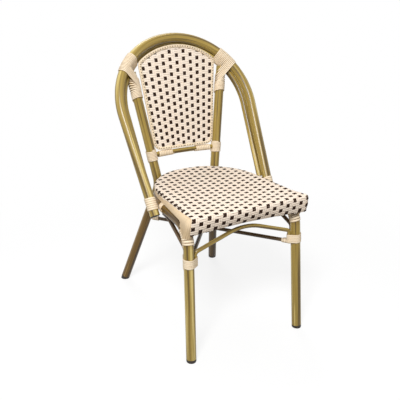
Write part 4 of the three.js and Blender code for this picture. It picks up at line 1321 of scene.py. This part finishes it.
class BuildSeat(bpy.types.Operator):
    """Weaves the seat over its ring, with the apron in front, and wraps its sides, back and corners"""
    bl_idname = "bistro.seat"
    bl_label = "Woven seat"

    def execute(self, context):
        pitch = settings().band_pitch
        self.lengthwise(pitch)
        self.across(pitch)
        self.edge_wraps()
        self.ring()
        return {"FINISHED"}

    def lengthwise(self, pitch):
        lines = []
        for column in range(-SEAT_COLUMNS, SEAT_COLUMNS + 1):
            for x in pair_places(column, pitch):
                x += WEAVE_SHIFT
                y_end = weave_back(x) if LEFT_MARGIN < x < RIGHT_MARGIN else None
                if y_end is None:
                    continue
                end = y_end - front_edge(x) - FRONT_ROUND
                lines.append(woven(-apron_length(x) - ROW_START, end - ROW_START,
                                   lambda row: up_is_over(column, row),
                                   lambda run, lift: on_seat(x, run + ROW_START, lift), darkness(column)))
        weave_strands("seat_strands_lengthwise", lines, pitch, ["seat_weave"])

    def across(self, pitch):
        rows_back = int((SEAT_BACK_Y - SEAT_FRONT_Y) / pitch) + 2
        rows_front = int(apron_length(0) / pitch) + 1
        lowest = ROW_ABOVE_FOOT - apron_length(0)
        lines = []
        for row in range(-rows_front, rows_back + 1):
            for run in pair_places(row, pitch):
                run += ROW_START
                left, right = weave_reach(run, -1.0), weave_reach(run, 1.0)
                if left is None or left + right < SHORTEST_ROW * pitch or run < lowest:
                    continue
                lines.append(woven(-left - WEAVE_SHIFT, right - WEAVE_SHIFT,
                                   lambda column: not up_is_over(column, row),
                                   lambda x, lift: on_seat(x + WEAVE_SHIFT, run, lift)))
        weave_strands("seat_strands_across", lines, pitch)

    def edge_wraps(self):
        """Pale strands over the seat's rounded edge, which come down to the knees at the front corners."""
        stations = evenly(EDGE, EDGE_PITCH)
        feet = [np.array([*foot, 0.0]) for crest, foot in stations]
        lines = []
        for station, (crest, foot) in enumerate(stations):
            out = unit(foot - crest)
            start, end = edge_start(crest, foot), np.array([*foot, SIDE_FOOT])
            bulge = np.array([*lerp(start[:2], foot, BULGE_OUT), lerp(start[2], SIDE_FOOT, BULGE_DOWN)])
            points = curved(start, bulge, end, BULGE_STEPS) + [end]
            fall = eased(foot[1], *KNEE_FALL_Y)
            if fall > 0:
                knee = on_knee(foot, out)
                points += [lerp(end, knee, fall * k / FALL_STEPS) for k in range(1, FALL_STEPS + 1)]
            else:
                points.append(end - np.array([*(out * TUCKED_IN), TUCKED_DOWN]))
            along = along_at(feet, station)
            looks = [unit(np.cross(along_at(points, k), along)) for k in range(len(points))]
            outward = np.array([*out, WRAP_LOOK_RISE])
            lines.append((points, [look if look @ outward > 0 else -look for look in looks], 0.0))
        strands("seat_edge_wraps", lines, EDGE_PITCH + WRAP_OVERLAP, settings().strand_depth, edge_finish())

    def ring(self):
        bottom = RAIL_HEIGHT + TUBE + CLEAR
        rings = []
        for inset, height in RING_SECTION:
            rings.append([np.array([narrowed(x, y), y + RING_SETBACK * skirt_fall(y), bottom + height])
                          for x, y in seat_plan(inset)])
        ring_loft("ring_under_seat", rings, shade_finish(), "seat_ring")


class BuildPanel(bpy.types.Operator):
    """Weaves the back panel and braids its border"""
    bl_idname = "bistro.panel"
    bl_label = "Woven back panel"

    def execute(self, context):
        pitch = settings().band_pitch
        right = sorted((p for p in drawn_in(panel_plan(), BORDER_EDGE) if p[0] >= 0), key=lambda p: p[1])
        side_x, side_s = zip(*right)
        low, high = min(side_s), max(side_s)
        middle = panel_s(PANEL_FIRST_ROW)

        def fan(s):
            """How far the weave is spread where it stands between the leaning posts."""
            half = PANEL_WAIST_HALF + PANEL_SIDE_SLOPE * (s - low - PANEL_WAIST_ABOVE)
            return half / (PANEL_COLUMNS_HALF * pitch)

        self.upright(pitch, side_s, side_x, middle, fan)
        lines = []
        for row in range(-PANEL_ROWS_BELOW, int((high - middle) / pitch) + 2):
            for run in pair_places(row, pitch):
                s = run + middle
                reach = float(np.interp(s, side_s, side_x))
                if not low + ROW_MARGIN < s < high - ROW_MARGIN or reach < SHORTEST_REACH:
                    continue
                spread = fan(s)
                lines.append(woven(-reach / spread, reach / spread,
                                   lambda column: not up_is_over(column + PANEL_PHASE, row),
                                   lambda x, lift: (on_panel(x * spread, s, lift), PANEL_OUT)))
        weave_strands("panel_strands_across", lines, pitch)
        self.border()
        return {"FINISHED"}

    def upright(self, pitch, side_s, side_x, middle, fan):
        low, high = min(side_s), max(side_s)
        heights = np.arange(low + HEIGHT_STEP, high, HEIGHT_STEP)
        halves = np.interp(heights, side_s, side_x)
        columns = int(PANEL_COLUMNS_HALF) + 1
        lines = []
        for column in range(-columns, columns + 1):
            for slot in pair_places(0, UPRIGHT_PITCH):
                def x_at(s):
                    return column * pitch * fan(s) + slot

                def at(run, lift):
                    return on_panel(x_at(run + middle), run + middle, lift), PANEL_OUT

                inside = heights[halves >= np.abs(x_at(heights)) + UPRIGHT_MARGIN]
                inside = inside[inside < high - DARK_SHORTER * darkness(column)] - middle
                if len(inside) < SHORTEST_UPRIGHT:
                    continue
                top_row = int((inside[-1] - TOP_ROW_BELOW) / pitch + 0.5)
                lines.append(woven(inside[0], inside[-1],
                                   lambda row: row <= top_row and up_is_over(column + PANEL_PHASE, row),
                                   at, darkness(column)))
        weave_strands("panel_strands_upright", lines, UPRIGHT_PITCH, ["back_panel_weave"])

    def border(self):
        """The braid round the panel: a flat round core with pointed stitches that meet along its middle."""
        plan = panel_plan()
        rings = []
        for k in range(BORDER_SIDES):
            angle = 2 * math.pi * k / BORDER_SIDES
            outline = drawn_in(plan, BORDER_CORE * (1 - BORDER_ROUND * math.cos(angle)))
            rings.append([on_panel(x, s, BORDER_DEPTH * math.sin(angle)) for x, s in outline])
        ring_loft("panel_border", rings, border_finish(), "back_panel_rim")
        for name, side in (("front", 1.0), ("back", -1.0)):
            strands("panel_braid_" + name, braid_lines(plan, side), STITCH_WIDTH, STITCH_DEPTH,
                    border_finish(), sides=STITCH_SIDES)


def braid_lines(plan, side):
    """Short slanted stitches from each edge of the border to its middle, like the rows of a plait."""
    closed = plan + [plan[0]]
    lengths = lengths_along(closed)
    total = lengths[-1]
    lines = []

    def at(run, inset, forward):
        run = run % total
        k = min(int(np.searchsorted(lengths, run, side="right")) - 1, len(plan) - 1)
        p = lerp(closed[k], closed[k + 1], (run - lengths[k]) / (lengths[k + 1] - lengths[k]))
        along = unit(closed[k + 1] - closed[k])
        return on_panel(*(p + np.array([-along[1], along[0]]) * inset), forward * side)

    count = int(total / STITCH_SLIP)
    for k in range(count):
        run = total * k / count
        for outer, inner in STITCH_INSETS:
            insets = (outer, (outer + inner) / 2, inner)
            stitch = [at(run + STITCH_SLIP * j / 2, insets[j], STITCH_LIFTS[j]) for j in range(3)]
            lines.append((stitch, [PANEL_OUT * side] * 3, 0.0))
        if k % 2 == 0:
            fleck = [at(run + step, BORDER_CORE, FLECK_LIFT) for step in (0.0, FLECK_LENGTH)]
            lines.append((fleck, [PANEL_OUT * side] * 2, FLECK_DARK))
    return lines


# The cord bindings, the straps and the flat wraps
CORD_DEPTH = 2.4
CORD_OVERLAP = 0.25
CORD_SIDES = 10
STRAP_DEPTH = 1.6
WRAP_DEPTH = 1.8
WAY_STEP = 2.0
SIDEWAYS = 0.7
FLAT_OVERLAP = 0.2
KNEE_OVERLAP = 0.3
POST_TOP_TIGHTER = 0.9
HOOP_WRAP_START = HOOP_END_LOW - 2
HOOP_WRAP_LENGTH = HOOP_END_BOUND + 3
HOOP_WRAP_PHASE = 0.2
POST_TOP_BOUND = BOUND_TUBE + 15 + 11 * CORD_TURN
POST_FOOT_HEIGHT = 486.0
POST_FOOT_BOUND = 6 * CORD_TURN + 4
RAIL_STRAP_Y = (-49, -30)
RAIL_STRAP_PLACES = 8
LEG_WRAP = (294.0, 322.0)
LEG_WRAP_PER_TURN = 36
KNEE_SLEEVE_LOW = 359.0
KNEE_SLEEVE_BACK = -182.0
KNEE_SLEEVE_FINER = 20
RAIL_WRAP = (9.0, 63.0)
RAIL_WRAP_STEPS = 10
CROSS_WRAP = (3.0, 27.0)
CROSS_WRAP_STEPS = 4
CROSS_WRAP_PER_TURN = 16


class BuildBindings(bpy.types.Operator):
    """Winds the cord that binds the hoops and posts, and the straps at the hoop's ends"""
    bl_idname = "bistro.bindings"
    bl_label = "Cord bindings"

    def execute(self, context):
        pitch = settings().binding_pitch

        def both(name, winding, turns, frame_at, phase=0.0):
            for tag, side in SIDES:
                line = wound(turns, frame_at, CLEAR + CORD_DEPTH / 2, side, phase)
                strands(f"{name}_{tag}", [line], pitch + CORD_OVERLAP, CORD_DEPTH, cord_finish(),
                        [f"{winding}_{tag}"], CORD_SIDES)

        both("shoulder_binding", "shoulder_winding", SHOULDER_TURNS, shoulder_frame, SHOULDER_PHASE)
        frame_at, length = post_top_frame(POST_TOP_BOUND)
        both("post_top_binding", "post_top_winding", length / (pitch * POST_TOP_TIGHTER), frame_at)
        frame_at = straight_frame(post_at(POST_FOOT_HEIGHT), POST_WAY, POST_FOOT_BOUND)
        both("post_foot_binding", "post_low_winding", POST_FOOT_BOUND / pitch, frame_at)
        turns = HOOP_WRAP_LENGTH / settings().wrap_pitch
        frame_at = straight_frame(hoop_side_at(HOOP_WRAP_START), HOOP_SIDE_WAY, HOOP_WRAP_LENGTH)
        along_rail = np.linspace(*RAIL_STRAP_Y, RAIL_STRAP_PLACES)
        rail = [np.array([rail_x_at(y), y, RAIL_HEIGHT]) for y in along_rail]
        for tag, side in SIDES:
            line = wound(turns, frame_at, CLEAR + STRAP_DEPTH / 2, side, HOOP_WRAP_PHASE)
            flat_wrap(f"hoop_end_binding_{tag}", line, STRAP_DEPTH,
                      [f"hoop_end_winding_{tag}"])
            line = wound_on(rail, TUBE, STRAP_DEPTH, side)
            flat_wrap(f"rail_strap_{tag}", line, STRAP_DEPTH)
        return {"FINISHED"}


class BuildWraps(bpy.types.Operator):
    """Winds the flat strand on the front legs, their knees, the panel rail and the cross stretchers"""
    bl_idname = "bistro.wraps"
    bl_label = "Strand wraps"

    def execute(self, context):
        turns = (LEG_WRAP[1] - LEG_WRAP[0]) / settings().wrap_pitch + 1
        bottom, top = (front_leg_at(height) for height in LEG_WRAP)
        centres = (np.zeros(2), FRONT_ARCH_SEAT[:2], np.array([0, ARCH_SEAT]))
        circles = list(zip(centres, (TUBE, STRETCHER, STRETCHER)))
        bend = knee_line()
        knee = [p for a, b in zip(bend, bend[1:]) for p in straight(a, b, KNEE_SLEEVE_FINER)]
        knee = [p for p in knee if p[2] > KNEE_SLEEVE_LOW and p[1] < KNEE_SLEEVE_BACK]
        end = panel_rail_at(1.0)[0]
        shares = [(end - reach) / end for reach in RAIL_WRAP]
        rail = [panel_rail_at(lerp(*shares, k / RAIL_WRAP_STEPS)) for k in range(RAIL_WRAP_STEPS + 1)]

        def leg_frame(share):
            return lerp(bottom, top, share), SIDEWARD, BACKWARD, circles

        for tag, side in SIDES:
            line = wound(turns, leg_frame, CLEAR + WRAP_DEPTH / 2, side, per_turn=LEG_WRAP_PER_TURN)
            flat_wrap(f"leg_wrap_{tag}", line, WRAP_DEPTH, [f"front_leg_wrap_{tag}"])
            line = wound_on(knee, TUBE, WRAP_DEPTH, side)
            flat_wrap(f"knee_wrap_{tag}", line, WRAP_DEPTH, [f"knee_sleeve_{tag}"],
                      KNEE_OVERLAP)
            line = wound_on(rail, PANEL_RAIL_TUBE, WRAP_DEPTH, side)
            flat_wrap(f"rail_wrap_{tag}", line, WRAP_DEPTH, [f"panel_rail_sleeve_{tag}"])
            front, rear = cross_line(0.0 if side > 0 else CROSS_LIFT)
            way = unit(rear - front)
            for name, start, reach in (("front", front, way), ("rear", rear, -way)):
                runs = [lerp(*CROSS_WRAP, k / CROSS_WRAP_STEPS) for k in range(CROSS_WRAP_STEPS + 1)]
                part = [start + reach * run for run in runs]
                line = wound_on(part, STRETCHER, WRAP_DEPTH, side, CROSS_WRAP_PER_TURN)
                flat_wrap(f"stretcher_wrap_{name}_{tag}", line, WRAP_DEPTH)
        return {"FINISHED"}


def flat_wrap(name, line, depth, replaced=(), overlap=FLAT_OVERLAP):
    """One flat strand along a winding's line, a little wider than its pitch."""
    strands(name, [line], settings().wrap_pitch + overlap, depth, wrap_finish(), replaced)


def wound_on(points, radius, depth, side, per_turn=24):
    """A flat strand wound along a bent tube's line, whose way is taken from places a little to each side."""
    lengths = lengths_along(points)
    total = lengths[-1]
    steps = int(total / settings().wrap_pitch * per_turn)
    places, looks = [], []
    for k in range(steps + 1):
        run = total * k / steps
        ahead, behind = min(run + WAY_STEP, total), max(run - WAY_STEP, 0)
        way = unit(spot_on(points, lengths, ahead) - spot_on(points, lengths, behind))
        across, over = square_to(way, BACKWARD if abs(way[0]) > SIDEWAYS else SIDEWARD)
        angle = 2 * math.pi * k / per_turn
        look = across * math.cos(angle) + over * math.sin(angle)
        places.append(sided(spot_on(points, lengths, run) + look * (radius + CLEAR + depth / 2), side))
        looks.append(sided(look, side))
    return places, looks, 0.0


# The plugs' and glides' sections, as a radius and a height from the tube's end
PLUG_SECTION = ((0, -3.4), (7, -3.0), (12, -2.2), (14.6, -1.2), (15, -0.3), (15, -0.2), (12.6, -0.2),
                (12.6, 10), (0, 10))
GLIDE_SECTION = ((0, -24), (14.0, -24), (14.4, -9), (15, -6.5), (15, -0.3), (12.6, -0.2), (12.6, 12),
                 (0, 12))
PLUG_SIDES = 32


class BuildFeet(bpy.types.Operator):
    """Makes the moulded glides under the legs and the plugs in the hoop's feet"""
    bl_idname = "bistro.feet"
    bl_label = "Glides and plugs"

    def execute(self, context):
        for name, foot, way in (("front", FRONT_FOOT, FRONT_LEG_WAY), ("rear", REAR_FOOT, REAR_LEG_WAY)):
            for tag, side in SIDES:
                self.turned(f"{name}_foot_{tag}", GLIDE_SECTION, foot_end(foot, way), way, side,
                            f"{name}_glide_{tag}", floor=True)
        for tag, side in SIDES:
            self.turned(f"hoop_foot_{tag}", PLUG_SECTION, hoop_side_at(-HOOP_FOOT_DROP), HOOP_SIDE_WAY, side,
                        f"hoop_plug_{tag}")
        return {"FINISHED"}

    def turned(self, name, section, end, way, side, node, floor=False):
        """A section turned round a tube's line. A glide is cut off level with the floor."""
        across, over = square_to(way)
        work = bmesh.new()
        rings = []
        for radius, height in section:
            ring = []
            for k in range(PLUG_SIDES if radius else 1):
                angle = 2 * math.pi * k / PLUG_SIDES
                spot = end + way * height + (across * math.cos(angle) + over * math.sin(angle)) * radius
                ring.append(work.verts.new(place(sided(spot, side))))
            rings.append(ring)
        for a, b in zip(rings, rings[1:]):
            for k in range(PLUG_SIDES):
                n = (k + 1) % PLUG_SIDES
                if len(a) == 1:
                    work.faces.new((a[0], b[k], b[n]))
                elif len(b) == 1:
                    work.faces.new((a[k], a[n], b[0]))
                else:
                    work.faces.new((a[k], a[n], b[n], b[k]))
        if floor:
            every = work.verts[:] + work.edges[:] + work.faces[:]
            cut = bmesh.ops.bisect_plane(work, geom=every, plane_co=(0, 0, 0), plane_no=(0, 0, 1),
                                         clear_inner=True)
            rim = [g for g in cut["geom_cut"] if isinstance(g, bmesh.types.BMEdge)]
            bmesh.ops.edgeloop_fill(work, edges=rim)
        mesh = bpy.data.meshes.new(name)
        work.to_mesh(mesh)
        work.free()
        mesh.materials.append(plug_rubber())
        finished(name, facing_out(mesh), [node])


# The stage, in metres and watts
LAMPS = (
    ("Key light", (-1.4, -1.7, 2.7), 0.9, 96.0),
    ("Fill light", (2.4, -1.6, 1.4), 1.8, 6.0),
    ("Back light", (0.4, 1.7, 2.8), 1.2, 26.0),
)
LAMP_AIM = Vector((0, 0, 0.45))
WORLD_LIGHT = 0.27
FLOOR_BOUNCE = (0.36, 0.34, 0.31)
FLOOR_REACH = 30.0
FLOOR_GLOW = 0.82
SHADOW_REACH = 0.55
WHITE_REACH = 1.3
PHOTO_WIDTH = 400.0
PHOTO_FOCUS = 553.15
CAMERA_PLACE = Vector((-0.8004, -1.4338, 1.0400))
CAMERA_TURNS = (-28.103, 21.683, 0.347)


def seen_directly(tree, light):
    """1 for camera rays and mirror rays, and 0 for all others."""
    return combined(tree, "MAXIMUM", light["Is Camera Ray"], light["Is Glossy Ray"])


class BuildStage(bpy.types.Operator):
    """Makes the pale floor, the soft lights and the camera"""
    bl_idname = "bistro.stage"
    bl_label = "Stage"

    def execute(self, context):
        scene = context.scene
        scene.view_settings.view_transform = "Standard"
        self.floor()
        self.world(scene)
        for name, where, size, power in LAMPS:
            self.lamp(name, where, size, power)
        camera = bpy.data.cameras.new("Photo camera")
        camera.sensor_width = 36.0
        camera.lens = PHOTO_FOCUS / PHOTO_WIDTH * camera.sensor_width
        camera.clip_start = 0.01
        obj = bpy.data.objects.new("Photo camera", camera)
        scene.collection.objects.link(obj)
        yaw, pitch, roll = (math.radians(a) for a in CAMERA_TURNS)
        back = Vector((math.sin(yaw) * math.cos(pitch), -math.cos(yaw) * math.cos(pitch), math.sin(pitch)))
        obj.rotation_mode = "QUATERNION"
        obj.location = CAMERA_PLACE + Vector((0, FRAME_SHIFT / 1000, 0))
        obj.rotation_quaternion = (-back).to_track_quat("-Z", "Y") @ Quaternion((0, 0, 1), roll)
        scene.camera = obj
        return {"FINISHED"}

    def floor(self):
        """A floor that is white to the camera but for the chair's soft shadow, and greyer to other rays."""
        mesh = bpy.data.meshes.new("floor")
        r = FLOOR_REACH
        mesh.from_pydata([(-r, -r, 0), (r, -r, 0), (r, r, 0), (-r, r, 0)], [], [(0, 1, 2, 3)])
        material, tree, shader = new_material("Floor")
        light = tree.nodes.new("ShaderNodeLightPath").outputs
        colour = mixed(tree, light["Is Camera Ray"], FLOOR_BOUNCE, (1.0, 1.0, 1.0))
        fill(tree, shader, {"Base Color": colour, "Roughness": 0.9})
        where = add(tree, "ShaderNodeTexCoord", output="Object")
        reach = add(tree, "ShaderNodeVectorMath", {0: where}, "Value", operation="LENGTH")
        fade = add(tree, "ShaderNodeMapRange", {
            "Value": reach, "From Min": SHADOW_REACH, "From Max": WHITE_REACH, "To Min": FLOOR_GLOW,
            "To Max": 1.0}, interpolation_type="SMOOTHSTEP")
        share = combined(tree, "MULTIPLY", seen_directly(tree, light), fade)
        glow = add(tree, "ShaderNodeEmission", {"Color": (1, 1, 1, 1), "Strength": 1.0})
        blend = add(tree, "ShaderNodeMixShader", {"Fac": share, 1: shader.outputs["BSDF"], 2: glow})
        fill(tree, next(n for n in tree.nodes if n.type == "OUTPUT_MATERIAL"), {"Surface": blend})
        mesh.materials.append(material)
        obj = bpy.data.objects.new("floor", mesh)
        bpy.context.scene.collection.objects.link(obj)

    def world(self, scene):
        """Soft light all round, which the camera, reflections and clear things see as white."""
        world = bpy.data.worlds.new("Studio")
        world.use_nodes = True
        tree = world.node_tree
        soft = next(n for n in tree.nodes if n.type == "BACKGROUND")
        fill(tree, soft, {"Color": (1, 1, 1, 1), "Strength": WORLD_LIGHT})
        white = add(tree, "ShaderNodeBackground", {"Color": (1, 1, 1, 1), "Strength": 1.0})
        light = tree.nodes.new("ShaderNodeLightPath").outputs
        through = combined(tree, "MAXIMUM", seen_directly(tree, light), light["Is Transmission Ray"])
        blend = add(tree, "ShaderNodeMixShader", {"Fac": through, 1: soft.outputs["Background"], 2: white})
        fill(tree, next(n for n in tree.nodes if n.type == "OUTPUT_WORLD"), {"Surface": blend})
        scene.world = world

    def lamp(self, name, where, size, power):
        lamp = bpy.data.lights.new(name, "AREA")
        lamp.shape = "SQUARE"
        lamp.size = size
        lamp.energy = power
        obj = bpy.data.objects.new(name, lamp)
        obj.location = where
        obj.rotation_mode = "QUATERNION"
        obj.rotation_quaternion = (LAMP_AIM - Vector(where)).to_track_quat("-Z", "Y")
        bpy.context.scene.collection.objects.link(obj)


class ChairPanel(bpy.types.Panel):
    """Lists the chair's settings and the steps that build it"""
    bl_idname = "VIEW3D_PT_bistro_chair"
    bl_label = "Bistro Chair"
    bl_space_type = "VIEW_3D"
    bl_region_type = "UI"
    bl_category = "Bistro Chair"

    def draw(self, context):
        for name in ChairSettings.__annotations__:
            self.layout.prop(context.scene.bistro_chair, name)
        for step in STEPS:
            self.layout.operator(step.bl_idname)


STEPS = (BuildFrameTubes, BuildSeat, BuildPanel, BuildBindings, BuildWraps, BuildFeet, BuildStage)
CLASSES = (ChairSettings, *STEPS, ChairPanel)


def register():
    for cls in CLASSES:
        bpy.utils.register_class(cls)
    bpy.types.Scene.bistro_chair = bpy.props.PointerProperty(type=ChairSettings)


def unregister():
    del bpy.types.Scene.bistro_chair
    for cls in reversed(CLASSES):
        bpy.utils.unregister_class(cls)


def main():
    register()
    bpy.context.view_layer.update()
    for step in STEPS:
        group, action = step.bl_idname.split(".")
        getattr(getattr(bpy.ops, group), action)()


if __name__ == "__main__":
    main()
